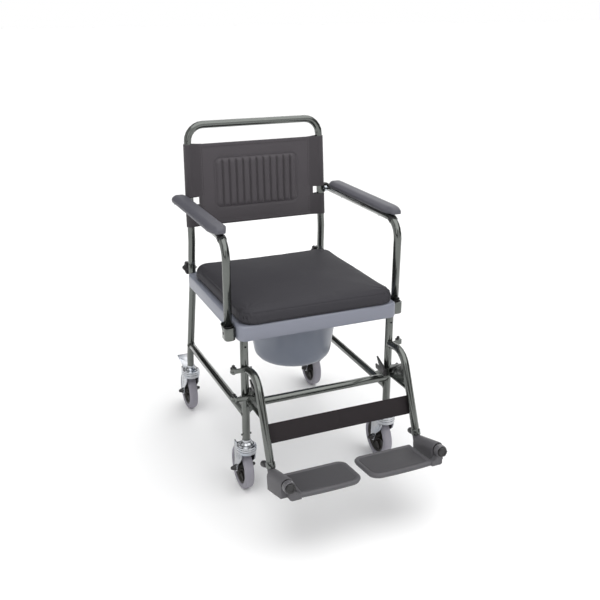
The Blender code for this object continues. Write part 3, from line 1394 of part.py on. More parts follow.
def build_height_knob(place, side):
    """The clamp knob at the back of the hanger tube's foot; its stud reaches the stem."""
    middle = knob_place(side)
    outward = knob_direction(side)
    face = HANGER_TUBE_R + SEAT_GAP
    profile = [
        (0, STEM_R + SEAT_GAP),
        (KNOB_STUD_R, STEM_R + SEAT_GAP),
        (KNOB_STUD_R, face),
        (KNOB_NECK_R, face),
        (KNOB_NECK_R, face + KNOB_NECK_LENGTH),
        (KNOB_R, face + KNOB_GRIP_START),
        (KNOB_R, face + KNOB_GRIP_END),
        (KNOB_TIP_R, face + KNOB_LENGTH),
        (0, face + KNOB_LENGTH),
    ]
    finish(turned("height_knob_" + place, profile, middle, outward, HEAD_STEPS), "black_plastic", middle)


def build_strap(place, side):
    """Half of the calf band: it runs from behind the hanger tube to the middle."""
    middle = hanger_place(side, STRAP_Z)
    down = hanger_down(side)
    rearward = hanger_rear(side)
    half_width = down * STRAP_WIDTH / 2
    back_off = HANGER_TUBE_R + SEAT_GAP
    near = rearward * back_off - half_width
    far = near + rearward * STRAP_CLOTH
    outer = middle + Vector((side * STRAP_TAB, 0, 0))
    inner = Vector((side * STRAP_GAP, middle.y, middle.z))
    band = slab("calf_strap_" + place, [outer + near, outer + far, inner + far, inner + near], half_width * 2)
    finish(band, "strap_web", at(side, HANGER_PIN_HALF, 0, STRAP_Z))


def build_chair():
    clear_scene()
    corners = {
        "front": (LEG_HALF, 0.0, False),
        "rear": (POST_FOOT_HALF, POST_FOOT_BACK, True),
    }
    for row, (half, back, braked) in corners.items():
        for name, side in SIDES.items():
            build_castor(row + "_" + name, side, half, back, braked)
    builders = (
        build_front_leg, build_rear_post, build_side_rail, build_arm_socket, build_star_knob, build_arm,
        build_arm_pad, build_arm_pivot, build_hanger, build_release_lever, build_foot_housing,
        build_footplate, build_foot_bolt, build_height_knob, build_strap,
    )
    for name, side in SIDES.items():
        for build in builders:
            build(name, side)
        build_brake(name, side, POST_FOOT_HALF, POST_FOOT_BACK)
    build_crossbar()
    build_seat_frame()
    build_seat_pan()
    build_cushion()
    build_bucket()
    build_back_frame()
    build_sling()


build_chair()
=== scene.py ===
"""The looks of a wheeled commode chair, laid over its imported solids, in metres.

The chair faces -Y, +X is the right of someone who looks at its front, +Z is up.
"""

import math
import random

import bmesh
import bpy
import numpy as np
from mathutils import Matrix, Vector


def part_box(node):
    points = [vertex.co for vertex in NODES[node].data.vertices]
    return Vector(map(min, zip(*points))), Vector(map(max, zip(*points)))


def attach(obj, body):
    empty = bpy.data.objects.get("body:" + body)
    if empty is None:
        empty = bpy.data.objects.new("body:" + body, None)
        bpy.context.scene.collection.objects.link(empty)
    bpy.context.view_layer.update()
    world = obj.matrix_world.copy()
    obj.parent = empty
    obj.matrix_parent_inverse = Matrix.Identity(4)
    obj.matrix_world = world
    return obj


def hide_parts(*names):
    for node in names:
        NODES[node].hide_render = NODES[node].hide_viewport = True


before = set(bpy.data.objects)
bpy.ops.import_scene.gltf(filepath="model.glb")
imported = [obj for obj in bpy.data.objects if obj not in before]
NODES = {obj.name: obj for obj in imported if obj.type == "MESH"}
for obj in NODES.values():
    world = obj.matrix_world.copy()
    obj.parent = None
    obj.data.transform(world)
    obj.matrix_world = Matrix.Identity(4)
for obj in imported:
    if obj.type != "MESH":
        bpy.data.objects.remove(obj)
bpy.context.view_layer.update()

bl_info = {
    "name": "Wheeled Commode Chair",
    "version": (1, 0, 0),
    "blender": (4, 5, 0),
    "location": "3D View > Sidebar > Commode Chair",
    "description": "Builds the finishes and soft pieces of a wheeled commode chair round its solids",
    "category": "Add Mesh",
}

SIDES = {"left": -1, "right": 1}
CORNERS = ("front_left", "front_right", "rear_left", "rear_right")

X = Vector((1, 0, 0))
Y = Vector((0, 1, 0))
Z = Vector((0, 0, 1))

# Places and sizes shared with the solids, HALF being a distance from the middle plane
TUBE_R = 0.011
LEG_Y = -0.15245
LEG_HALF = 0.2145
LEG_FOOT_Z = 0.1642
LEG_HOLE_Z = 0.4425
POST_FOOT_HALF = 0.2224
POST_FOOT_Y = 0.36355
CROSSBAR_Z = 0.272
RAIL_Z = 0.243
RAIL_REAR_HALF = 0.2211
ARM_HALF = 0.2460
ARM_TUBE_Z = 0.7215
ARM_BEND_R = 0.052
ARM_RISER_Y = LEG_Y + 0.028
SOCKET_HALF_WIDTH = 0.0145
SPACER_START = 0.2312
SPACER_Z = 0.473
HANGER_HALF = 0.2110
HANGER_PIN_HALF = 0.2450
BARREL_TOPS = (0.384, 0.301)
FORK_TOP = 0.150
FORK_LIP_R = 0.0262
FORK_OUTSIDE = 0.0210
BACK_KNEE = Vector((0.2140, 0.30805, 0.600))
BACK_CROWN = Vector((0.2078, 0.32405, 0.942))
HANGER_DOWN = Vector((0, -0.385249, -0.922814))
HANGER_REAR = Vector((0, 0.922814, -0.385249))
HANGER_FOOT = Vector((0, -0.32845, 0.177))
KNOB_UP = 0.0075
KNOB_SPLAY = math.radians(8.5)
FOOT_TILT = math.radians(6.5)
FOOT_FORWARD = Vector((0, -math.cos(FOOT_TILT), math.sin(FOOT_TILT)))
FOOT_UP = Vector((0, math.sin(FOOT_TILT), math.cos(FOOT_TILT)))
FOOT_HINGE = Vector((0, -0.39185, 0.1864))
KNUCKLE_REAR = 0.0426
PLATE_FRONT = 0.0631
PLATE_OUTER = 0.1880
PLATE_INNER = 0.0110
PLATE_LENGTH = 0.124
PLATE_DROP = 0.036

# The embossed field of the back cloth
RIBS = 12
FIELD_HALF = 0.130
FIELD_LOW = 0.697
FIELD_HIGH = 0.840


def colour_of(red, green, blue):
    """A screen colour, 0 to 255, as the linear values that a shader takes."""
    return tuple((channel / 255) ** 2.2 for channel in (red, green, blue))


def colour_setting(name, description, colour):
    return bpy.props.FloatVectorProperty(
        name=name, description=description, default=colour, size=3, subtype="COLOR", min=0, max=1)


def length_setting(name, description, value, low=0.0, high=1.0):
    return bpy.props.FloatProperty(
        name=name, description=description, default=value, min=low, max=high, unit="LENGTH", precision=4)


class ChairColours(bpy.types.PropertyGroup):
    """Colours of the chair's finishes."""

    paint: colour_setting("Frame paint", "Metallic paint of the tubes", colour_of(104, 107, 104))
    zinc: colour_setting("Zinc", "Plating of the castor forks and pedals", colour_of(196, 198, 202))
    tyre: colour_setting("Tyre", "Rubber of the tyres", colour_of(146, 144, 153))
    wheel: colour_setting("Wheel centre", "Plastic of the wheels", colour_of(34, 31, 28))
    black: colour_setting("Black plastic", "Knobs, caps and levers", colour_of(36, 35, 36))
    pan: colour_setting("Seat pan", "Moulded plastic of the seat pan", colour_of(126, 129, 141))
    bucket: colour_setting("Bucket", "Milky plastic of the bucket", colour_of(120, 126, 139))
    vinyl: colour_setting("Seat vinyl", "Cover of the seat cushion", colour_of(68, 67, 71))
    cloth: colour_setting("Back cloth", "Coated cloth of the back", colour_of(76, 72, 76))
    pad: colour_setting("Arm pad", "Skin of the foam arm pads", colour_of(91, 91, 98))
    web: colour_setting("Calf strap", "Woven web of the calf strap", colour_of(46, 42, 44))
    footrest: colour_setting("Footrest", "Moulded plastic of the footrests", colour_of(84, 83, 86))


class ChairSizes(bpy.types.PropertyGroup):
    """Sizes of the soft pieces and of the weld beads."""

    rib_height: length_setting("Rib height", "How far the ribs of the back stand out", 0.0044, high=0.01)
    hem: length_setting("Hem", "Width of the hems of the back cloth", 0.0120, high=0.05)
    stitch: length_setting("Stitch", "Length of one stitch", 0.0034, low=0.001, high=0.01)
    swell: length_setting("Cushion swell", "Most that the cushion's skin moves", 0.0042, high=0.02)
    voxel: length_setting("Cushion grain", "Mesh size of the cushion", 0.0055, low=0.004, high=0.01)
    weld: length_setting("Weld bead", "Half width of the weld beads", 0.0017, high=0.005)


def colours():
    return bpy.context.scene.chair_colours


def sizes():
    return bpy.context.scene.chair_sizes


class Number:
    """A value that varies over a surface: sums and products of it add their Math nodes."""

    def __init__(self, surface, socket):
        self.surface = surface
        self.socket = socket

    def __add__(self, other):
        return self.surface.maths("ADD", self, other)

    __radd__ = __add__

    def __sub__(self, other):
        return self.surface.maths("SUBTRACT", self, other)

    def __rsub__(self, other):
        return self.surface.maths("SUBTRACT", other, self)

    def __mul__(self, other):
        return self.surface.maths("MULTIPLY", self, other)

    __rmul__ = __mul__


class Nodes:
    """A node tree that is written as sums and calls."""

    def __init__(self, tree, space):
        self.tree = tree
        self.place = self.node("ShaderNodeTexCoord", {}, {}).outputs[space]

    def node(self, kind, settings, inputs):
        """One node: its settings first, then the values or links of its sockets."""
        node = self.tree.nodes.new(kind)
        for name, value in settings.items():
            setattr(node, name, value)
        for name, value in inputs.items():
            if isinstance(value, Number):
                value = value.socket
            if isinstance(value, bpy.types.NodeSocket):
                self.tree.links.new(value, node.inputs[name])
            else:
                node.inputs[name].default_value = value
        return node

    def maths(self, operation, *values):
        node = self.node("ShaderNodeMath", {"operation": operation}, dict(enumerate(values)))
        return Number(self, node.outputs[0])

    def clamp(self, value, low, high):
        """0 below low, 1 above high, a straight line between."""
        node = self.node("ShaderNodeMapRange", {"clamp": True}, {0: value, 1: low, 2: high})
        return Number(self, node.outputs[0])


class Surface(Nodes):
    """The nodes of one finish."""

    def __init__(self, name, roughness, metallic=0.0, coat=0.0, specular=0.5, sheen=0.0):
        self.material = bpy.data.materials.new(name)
        self.material.use_nodes = True
        super().__init__(self.material.node_tree, "Object")
        self.shader = self.tree.nodes["Principled BSDF"]
        for socket, value in (("Roughness", roughness), ("Metallic", metallic), ("Coat Weight", coat),
                              ("Specular IOR Level", specular), ("Sheen Weight", sheen)):
            self.shader.inputs[socket].default_value = value

    def noise(self, scale, detail=2.0, stretch=None):
        inputs = {"Vector": self.stretched(stretch), "Scale": scale, "Detail": detail}
        return Number(self, self.node("ShaderNodeTexNoise", {}, inputs).outputs["Fac"])

    def cells(self, scale, feature="F1", stretch=None):
        inputs = {"Vector": self.stretched(stretch), "Scale": scale}
        node = self.node("ShaderNodeTexVoronoi", {"feature": feature}, inputs)
        return Number(self, node.outputs["Distance"])

    def stretched(self, stretch):
        if stretch is None:
            return self.place
        node = self.node("ShaderNodeVectorMath", {"operation": "MULTIPLY"}, {0: self.place, 1: stretch})
        return node.outputs[0]

    def bands(self, direction, pitch):
        """A wave from 0 to 1 along an axis, with the given pitch in metres."""
        node = self.node("ShaderNodeTexWave", {"bands_direction": direction, "wave_profile": "SIN"},
                         {"Vector": self.place, "Scale": math.pi / 10 / pitch, "Distortion": 0.0})
        return Number(self, node.outputs["Fac"])

    def blend(self, share, first, second):
        """A colour between two, by a share."""
        node = self.node("ShaderNodeMix", {"data_type": "RGBA"}, {0: share})
        for socket, colour in ((node.inputs[6], first), (node.inputs[7], second)):
            if isinstance(colour, bpy.types.NodeSocket):
                self.tree.links.new(colour, socket)
            else:
                socket.default_value = (*colour, 1.0)
        return node.outputs[2]

    def feed(self, socket, value):
        value = value.socket if isinstance(value, Number) else value
        self.tree.links.new(value, self.shader.inputs[socket])

    def finished(self, colour, roughness, height, depth, strength):
        """The material, once its colour, its roughness and its relief are fed in."""
        self.feed("Base Color", colour)
        self.feed("Roughness", roughness)
        node = self.node("ShaderNodeBump", {}, {"Height": height, "Distance": depth, "Strength": strength})
        self.feed("Normal", node.outputs[0])
        return self.material


def shade(colour, factor):
    return tuple(min(1.0, channel * factor) for channel in colour)


def tinted(colour, red, green, blue):
    return tuple(min(1.0, channel * factor) for channel, factor in zip(colour, (red, green, blue)))


def paint_finish():
    """Metallic paint: a fine flake, slow clouds in its gloss, and rubbed patches."""
    colour = tuple(colours().paint)
    surface = Surface("frame_paint", 0.24, metallic=0.90, coat=0.30)
    surface.shader.inputs["Coat Roughness"].default_value = 0.06
    flake = surface.cells(2600.0)
    cloud = surface.noise(14.0, 3.0)
    body = surface.blend(flake * 0.55 + 0.1, shade(colour, 0.80), shade(colour, 1.18))
    rubbed = surface.clamp(surface.noise(70.0, 4.0, (1, 1, 0.25)), 0.62, 0.80) * 0.35
    body = surface.blend(rubbed, body, shade(colour, 1.5))
    return surface.finished(body, cloud * 0.12 + 0.11, surface.noise(420.0) + flake * 0.3, 0.00003, 0.4)


def zinc_finish():
    """Bright zinc plate: crystal patches, bluish clouds and fine scratches."""
    colour = tuple(colours().zinc)
    surface = Surface("zinc", 0.24, metallic=1.0)
    patches = surface.cells(260.0, "SMOOTH_F1")
    cloud = surface.noise(38.0, 3.0)
    body = surface.blend(patches * 0.8, shade(colour, 0.76), colour)
    bluish = surface.clamp(cloud, 0.48, 0.72) * 0.45
    body = surface.blend(bluish, body, tinted(colour, 0.66, 0.76, 0.88))
    return surface.finished(body, cloud * 0.16 + 0.16, surface.noise(900.0, 2.0, (1, 0.1, 1)), 0.00004, 0.5)


def rubber_finish():
    """Tyre rubber with moulding grain and dust in its low places."""
    colour = tuple(colours().tyre)
    surface = Surface("tyre_rubber", 0.62, specular=0.35)
    grain = surface.noise(700.0, 3.0)
    dust = surface.clamp(surface.noise(45.0, 4.0), 0.45, 0.75)
    body = surface.blend(dust * 0.5, shade(colour, 0.92), tinted(colour, 1.10, 1.07, 1.02))
    return surface.finished(body, grain * 0.2 + 0.5, grain, 0.00012, 0.6)


def moulded_finish(name, setting, roughness, grain_scale, depth, coat=0.0, spread=0.08, lift=1.0):
    """Moulded plastic: slow clouds in its colour, an even grain and small scuffs."""
    colour = shade(getattr(colours(), setting), lift)
    surface = Surface(name, roughness, coat=coat)
    surface.shader.inputs["Coat Roughness"].default_value = 0.18
    grain = surface.noise(grain_scale, 2.0)
    cloud = surface.noise(11.0, 3.0)
    scuffs = surface.clamp(surface.noise(160.0, 4.0, (0.3, 1, 1)), 0.66, 0.80)
    body = surface.blend(cloud, shade(colour, 1 - spread), shade(colour, 1 + spread))
    body = surface.blend(scuffs * 0.25, body, shade(colour, 1.35))
    gloss = grain * 0.12 + cloud * 0.08 + (roughness - 0.1) + scuffs * 0.1
    return surface.finished(body, gloss, grain, depth, 0.6)


def vinyl_finish():
    """Cover vinyl: leather-like cells with finer wrinkles and slow clouds."""
    colour = tuple(colours().vinyl)
    surface = Surface("seat_vinyl", 0.56, specular=0.10)
    cells = surface.cells(620.0, "SMOOTH_F1")
    fine = surface.noise(1500.0)
    cloud = surface.noise(9.0, 3.0)
    body = surface.blend(cloud, shade(colour, 0.90), shade(colour, 1.10))
    body = surface.blend(cells * 0.35, shade(colour, 0.80), body)
    return surface.finished(body, cloud * 0.12 + cells * 0.10 + 0.48, cells + fine * 0.35, 0.00016, 0.7)


def cloth_finish():
    """Coated cloth: its weave, with painted shade on the sleeves, in the grooves between the ribs and towards
    the lower edge.
    """
    colour = tuple(colours().cloth)
    surface = Surface("back_cloth", 0.62, specular=0.4, sheen=0.08)
    weave = surface.bands("X", 0.0009) * surface.bands("Z", 0.0009)
    cloud = surface.noise(13.0, 4.0, (1, 1, 0.5))
    fibre = surface.noise(1300.0)
    split = surface.node("ShaderNodeSeparateXYZ", {}, {0: surface.place})
    across = surface.maths("ABSOLUTE", split.outputs[0])
    height = Number(surface, split.outputs[2])
    # The sleeves, where the cloth wraps round the tubes, take a darker copy of the colour: painted shade.
    sleeve = surface.clamp(across, 0.1745, 0.1765)
    panel = surface.blend(cloud, shade(colour, 0.88), shade(colour, 1.18))
    painted_sleeve_shade = surface.blend(cloud, shade(colour, 0.66), shade(colour, 0.86))
    body = surface.blend(sleeve, panel, painted_sleeve_shade)
    inside = (surface.clamp(FIELD_HALF - across, 0.0, 0.004) * surface.clamp(height - FIELD_LOW, 0.0, 0.004)
              * surface.clamp(FIELD_HIGH - height, 0.0, 0.004))
    # Darker lines in the grooves between the embossed ribs: painted shade.
    painted_groove_shade = (1 - surface.clamp(surface.bands("X", 2 * FIELD_HALF / RIBS), 0.0, 0.30)) * inside
    # Darker towards the lower edge, where the cloth curves back: painted shade.
    painted_lower_shade = surface.clamp(FIELD_LOW + 0.045 - height, 0.0, 0.09)
    body = surface.blend(painted_groove_shade * 0.60, body, shade(colour, 0.40))
    body = surface.blend(painted_lower_shade * 0.42, body, shade(colour, 0.48))
    body = surface.blend(weave * 0.30, body, shade(colour, 0.66))
    return surface.finished(body, cloud * 0.18 + fibre * 0.1 + 0.44, weave + fibre * 0.4, 0.00012, 0.6)


def web_finish():
    """Woven strap: ribs across it and a twill along it."""
    colour = tuple(colours().web)
    surface = Surface("strap_web", 0.82, specular=0.25, sheen=0.04)
    ribs = surface.bands("X", 0.0016)
    rows = surface.bands("Z", 0.0011)
    fibre = surface.noise(1600.0)
    height = ribs * 0.6 + rows * 0.4
    woven = surface.blend(height * 0.7 + fibre * 0.2, shade(colour, 0.66), shade(colour, 1.28))
    return surface.finished(woven, fibre * 0.15 + 0.72, height + fibre * 0.3, 0.00025, 0.7)


def foam_finish():
    """Self-skinned foam: fine pores on a skin of uneven gloss."""
    colour = tuple(colours().pad)
    surface = Surface("pad_foam", 0.55, specular=0.42)
    pores = surface.cells(900.0)
    cloud = surface.noise(16.0, 3.0)
    body = surface.blend(cloud, shade(colour, 0.88), shade(colour, 1.12))
    body = surface.blend(pores * 0.3, shade(colour, 0.86), body)
    return surface.finished(body, cloud * 0.16 + 0.44, pores, 0.00012, 0.6)


def tread_finish():
    """Footplate field: a grid of low domes on the moulded grain."""
    colour = tuple(colours().footrest)
    surface = Surface("footrest_tread", 0.62)
    domes = surface.bands("X", 0.0032) * surface.bands("Y", 0.0032)
    grain = surface.noise(1100.0)
    cloud = surface.noise(20.0, 3.0)
    body = surface.blend(cloud, shade(colour, 0.76), shade(colour, 0.94))
    body = surface.blend(domes * 0.35, shade(colour, 0.68), body)
    gloss = grain * 0.15 + cloud * 0.1 + 0.48
    return surface.finished(body, gloss, domes * 0.8 + grain * 0.3, 0.00035, 0.7)


def painted_shade_finish():
    """Near-black painted shade for the inside of a hole or a gap, with a trace of dirt."""
    surface = Surface("hole_dark", 0.9, specular=0.1)
    dirt = surface.noise(300.0)
    surface.feed("Base Color", surface.blend(dirt, (0.004, 0.004, 0.004), (0.012, 0.011, 0.010)))
    return surface.material


FINISHES = {
    "frame_paint": paint_finish, "zinc": zinc_finish, "tyre": rubber_finish, "seat_vinyl": vinyl_finish,
    "back_cloth": cloth_finish, "pad_foam": foam_finish, "strap_web": web_finish,
    "footrest_tread": tread_finish, "hole_dark": painted_shade_finish,
}
# Colour setting, roughness, scale and depth of the grain, coat, spread and lift of the colour
MOULDED = {
    "wheel_centre": ("wheel", 0.45, 500.0, 0.0001),
    "black_plastic": ("black", 0.42, 800.0, 0.00008, 0.15),
    "pan_plastic": ("pan", 0.42, 420.0, 0.00006, 0.15, 0.05),
    "bucket_plastic": ("bucket", 0.36, 300.0, 0.00008, 0.25, 0.10),
    "footrest_plastic": ("footrest", 0.58, 1200.0, 0.00015),
    "knuckle_plastic": ("footrest", 0.34, 900.0, 0.00008, 0.2, 0.08, 1.2),
}
made = {}


def finish_of(name):
    if name not in made:
        made[name] = moulded_finish(name, *MOULDED[name]) if name in MOULDED else FINISHES[name]()
    return made[name]


def mm(*pairs, past=0.0, out=0.0):
    """Radii and distances of a turned body in millimetres, past a place on its axis and out of a radius."""
    return [(out + radius / 1000, past + along / 1000) for radius, along in pairs]


def both_ways(profile):
    """A profile and its mirror image, joined where it ends."""
    return [(radius, -along) for radius, along in profile] + profile[::-1]


def on_circle(angle, radius=1.0):
    """A point of the circle round the vertical axis."""
    return Vector((radius * math.cos(angle), radius * math.sin(angle), 0))


def bell(value, width):
    """1 at zero, falling off evenly to both sides."""
    return math.exp(-(value / width) ** 2)


def ribbed(height, count, low, high):
    """Ribs round a turned body, between two distances on its axis."""
    return lambda angle, along: height * math.cos(angle * count) if low < along < high else 0.0


def rounded(low, high, radii, steps):
    """A rectangle of the plane, each corner rounded by its own radius."""
    middle = (low + high) / 2
    half = (high - low) / 2
    places = []
    for quarter, (x, y) in enumerate(((1, 1), (-1, 1), (-1, -1), (1, -1))):
        radius = radii[quarter]
        for index in range(steps + 1):
            turn = on_circle(math.pi / 2 * (quarter + index / steps), radius)
            places.append(Vector((middle.x + x * (half.x - radius) + turn.x,
                                  middle.y + y * (half.y - radius) + turn.y)))
    return places


class Shape:
    """The points and faces of one piece, gathered before its mesh is made."""

    def __init__(self):
        self.points = []
        self.faces = []

    def rings(self, rings, caps=True):
        """A skin through rings of equal count."""
        first = len(self.points)
        count = len(rings[0])
        for ring in rings:
            self.points.extend(Vector(place) for place in ring)
        for row in range(len(rings) - 1):
            for index in range(count):
                onward = (index + 1) % count
                low = first + row * count
                self.faces.append((low + index, low + onward, low + count + onward, low + count + index))
        if caps:
            self.faces.append(tuple(first + index for index in reversed(range(count))))
            last = first + (len(rings) - 1) * count
            self.faces.append(tuple(last + index for index in range(count)))
        return self

    def turned(self, profile, origin, axis, steps, ripple=None):
        """A body turned from pairs of radius and distance along its axis."""
        turn = axis.to_track_quat("Z", "Y").to_matrix()
        rings = []
        for radius, along in profile:
            ring = []
            for index in range(steps):
                angle = 2 * math.pi * index / steps
                swell = ripple(angle, along) if ripple and radius > 0 else 0.0
                ring.append(origin + turn @ Vector(((radius + swell) * math.cos(angle),
                                                    (radius + swell) * math.sin(angle), along)))
            rings.append(ring)
        if min(radius for radius, _ in profile) > 0:
            rings.append(rings[0])
        return self.rings(rings, caps=False)

    def swept(self, path, radius, sides, closed=False):
        """A bar along a path, with flat ends unless it is closed."""
        count = len(path)
        normal = None
        rings = []
        for index, place in enumerate(path):
            before = path[index - 1] if index or closed else place
            after = path[(index + 1) % count] if index < count - 1 or closed else place
            along = (after - before).normalized()
            if normal is None:
                normal = along.orthogonal().normalized()
            normal = (normal - along * normal.dot(along)).normalized()
            across = along.cross(normal)
            rings.append([
                place + (normal * math.cos(angle) + across * math.sin(angle)) * radius
                for angle in (2 * math.pi * side / sides for side in range(sides))
            ])
        if closed:
            return self.rings(rings + [rings[0]], caps=False)
        return self.rings(rings)

    def capsule(self, middle, along, outward, length, radius):
        """One stitch: a low drop that lies on the cloth."""
        across = along.cross(outward).normalized()
        rings = []
        for share, size in ((-0.5, 0.35), (-0.3, 0.9), (0.0, 1.0), (0.3, 0.9), (0.5, 0.35)):
            centre = middle + along * share * length
            rings.append([
                centre + (across * math.cos(angle) + outward * math.sin(angle) * 0.7) * radius * size
                for angle in (2 * math.pi * side / 6 for side in range(6))
            ])
        return self.rings(rings)

    def stitches(self, path, outward, radius=0.00045):
        """A row of stitches along a path."""
        pitch = sizes().stitch * 1.45
        for start, end in zip(path, path[1:]):
            run = end - start
            for index in range(max(1, round(run.length / pitch))):
                middle = start + run * (index + 0.5) / max(1, round(run.length / pitch))
                self.capsule(middle, run.normalized(), outward, sizes().stitch, radius)
        return self

    def made(self, name, finish, body, sharp=32.0, weld=True):
        """The finished piece, riding on its body."""
        mesh = bpy.data.meshes.new(name)
        mesh.from_pydata([tuple(place) for place in self.points], [], self.faces)
        bm = bmesh.new()
        bm.from_mesh(mesh)
        if weld:
            bmesh.ops.remove_doubles(bm, verts=bm.verts, dist=1e-6)
            bmesh.ops.dissolve_degenerate(bm, edges=bm.edges, dist=1e-7)
        bmesh.ops.recalc_face_normals(bm, faces=bm.faces)
        bm.to_mesh(mesh)
        bm.free()
        piece = bpy.data.objects.new(name, mesh)
        bpy.context.scene.collection.objects.link(piece)
        return dress(piece, finish, body, sharp)


def dress(piece, finish, body, sharp=32.0):
    piece.data.materials.clear()
    piece.data.materials.append(finish_of(finish))
    piece.data.shade_smooth()
    piece.data.set_sharp_from_angle(angle=math.radians(sharp))
    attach(piece, body)
    return piece


def baked(piece, modifier):
    """Apply one modifier of a piece."""
    graph = bpy.context.evaluated_depsgraph_get()
    graph.update()
    mesh = bpy.data.meshes.new_from_object(piece.evaluated_get(graph))
    piece.modifiers.remove(modifier)
    piece.data = mesh
    return piece


def middle_of(node):
    low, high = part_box(node)
    return (low + high) / 2


def mirrored(side, point):
    return Vector((side * point.x, point.y, point.z))


def back_tube(z, side=1):
    """The middle of the back frame's tube at a height on its reclined stretch."""
    place = BACK_KNEE + (BACK_CROWN - BACK_KNEE) * (z - BACK_KNEE.z) / (BACK_CROWN.z - BACK_KNEE.z)
    return mirrored(side, place)


# The solids that are shown, with a finish and the width of their softened edges
SHOWN = {
    "front_leg": ("frame_paint", 0.0008), "rear_post": ("frame_paint", 0.0005),
    "side_rail": ("frame_paint", 0.0005), "crossbar": ("frame_paint", 0.0005),
    "seat_frame": ("frame_paint", 0.0), "back_frame": ("frame_paint", 0.0),
    "arm_tube": ("frame_paint", 0.0), "arm_socket": ("frame_paint", 0.0007),
    "hanger": ("frame_paint", 0.0007), "castor_head": ("zinc", 0.0005), "castor_fork": ("zinc", 0.0008),
    "brake_pedal": ("zinc", 0.0006), "arm_pivot": ("zinc", 0.0004), "seat_pan": ("pan_plastic", 0.0009),
    "star_knob": ("black_plastic", 0.0008), "release_lever": ("black_plastic", 0.0008),
    "foot_housing": ("footrest_plastic", 0.0015),
}


class ShowSolids(bpy.types.Operator):
    """Give the solids that are shown their finishes and softened edges"""

    bl_idname = "chair.solids"
    bl_label = "Frame and mouldings"

    def execute(self, context):
        for name, node in NODES.items():
            kind = next((kind for kind in SHOWN if name.startswith(kind)), None)
            if kind is None:
                continue
            finish, edge = SHOWN[kind]
            node.data.materials.clear()
            node.data.materials.append(finish_of(finish))
            weld = node.modifiers.new("joined", "WELD")
            weld.merge_threshold = 0.00001
            if edge:
                bevel = node.modifiers.new("softened", "BEVEL")
                bevel.width = edge
                bevel.segments = 2
                bevel.limit_method = "ANGLE"
                bevel.angle_limit = math.radians(40)
                bevel.use_clamp_overlap = True
            node.data.shade_smooth()
            node.data.set_sharp_from_angle(angle=math.radians(35))
        return {"FINISHED"}


class AddWheels(bpy.types.Operator):
    """Add the tyres, the wheel centres with their ribs, and the axles with their caps"""

    bl_idname = "chair.wheels"
    bl_label = "Wheels"

    def execute(self, context):
        for corner in CORNERS:
            axle = middle_of("castor_axle_" + corner)
            wheel = "wheel_" + corner
            tread = mm((47.6, 11.5), (50, 12.8), (53.5, 13.5), (57, 13.2), (59.6, 12), (61.4, 9.8), (62.3, 7),
                       (62.5, 3.5))
            tyre = Shape().turned(both_ways(tread), axle, X, 80).made("tyre_" + corner, "tyre", wheel)
            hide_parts("castor_tyre_" + corner)

            face = mm((4.4, 17.2), (10, 17.2), (12, 16), (13, 9), (16, 3.4), (35, 3), (40, 5), (43, 9.2),
                      (46, 10.5), (47.4, 10))
            hub = Shape().turned(both_ways(face), axle, X, 72)
            for spoke in range(6):
                angle = math.pi / 3 * spoke
                outward = Vector((0, math.cos(angle), math.sin(angle)))
                across = X.cross(outward) * 0.0013
                for hand in (-1, 1):
                    rings = []
                    for reach, rise in mm((11.5, 15), (18, 8.6), (34, 6.6), (42, 9.2)):
                        base = axle + outward * reach
                        low = X * hand * 0.002
                        high = X * hand * rise
                        rings.append([base - across + low, base + across + low,
                                      base + across * 0.7 + high, base - across * 0.7 + high])
                    hub.rings(rings)
            hub = hub.made("wheel_centre_" + corner, "wheel_centre", wheel)
            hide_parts("castor_hub_" + corner)

            low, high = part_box("castor_axle_" + corner)
            cone = mm((0, -0.8), (2.2, -0.6), (3.4, 0), (4.2, -0.8), (6.6, -7), (8, -10.5), (8.5, -11.7),
                      (8.5, -13.5), (4, -13.5), past=(high.x - low.x) / 2)
            pin = Shape().turned(both_ways(cone), axle, X, 32)
            pin = pin.made("axle_" + corner, "black_plastic", "castor_" + corner)
            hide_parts("castor_axle_" + corner)
        return {"FINISHED"}


class AddForkTrim(bpy.types.Operator):
    """Add the ball-race rings, the rolled lips and the axle washers of the castor forks"""

    bl_idname = "chair.fork_trim"
    bl_label = "Castor forks"

    def execute(self, context):
        for corner in CORNERS:
            swivel = middle_of("castor_head_" + corner)
            swivel.z = FORK_TOP
            body = "castor_" + corner
            race = mm((18.2, -0.4), (18.2, 1.8), (19, 3), (20.4, 3.4), (22, 3), (23.4, 1.4), (24.2, -0.4))
            trim = Shape().turned(race, swivel, Z, 56)
            for drop, thick in ((0.0052, 0.0016), (0.0125, 0.0013)):
                trim.swept([swivel + on_circle(math.radians(182 + 176 * index / 28), FORK_LIP_R) - Z * drop
                            for index in range(29)], thick, 8)
            trim.made("fork_trim_" + corner, "zinc", body)

            axle = middle_of("castor_axle_" + corner)
            washers = Shape()
            for hand in (-1, 1):
                rim = mm((4.2, 0), (9.8, 0), (10, 0.4), (9.8, 0.9), (4.2, 0.9))
                washers.turned(rim, axle + X * hand * FORK_OUTSIDE, X * hand, 24)
            washers.made("fork_washers_" + corner, "zinc", body)
        return {"FINISHED"}


def weld_path(origin, along, up, steps=40):
    """The line where a round bar meets a leg of its own radius."""
    across = along.cross(up)
    path = []
    for index in range(steps):
        angle = 2 * math.pi * index / steps
        rise = TUBE_R * math.sin(angle)
        path.append(origin + across * TUBE_R * math.cos(angle) + up * rise + along * abs(rise))
    return path


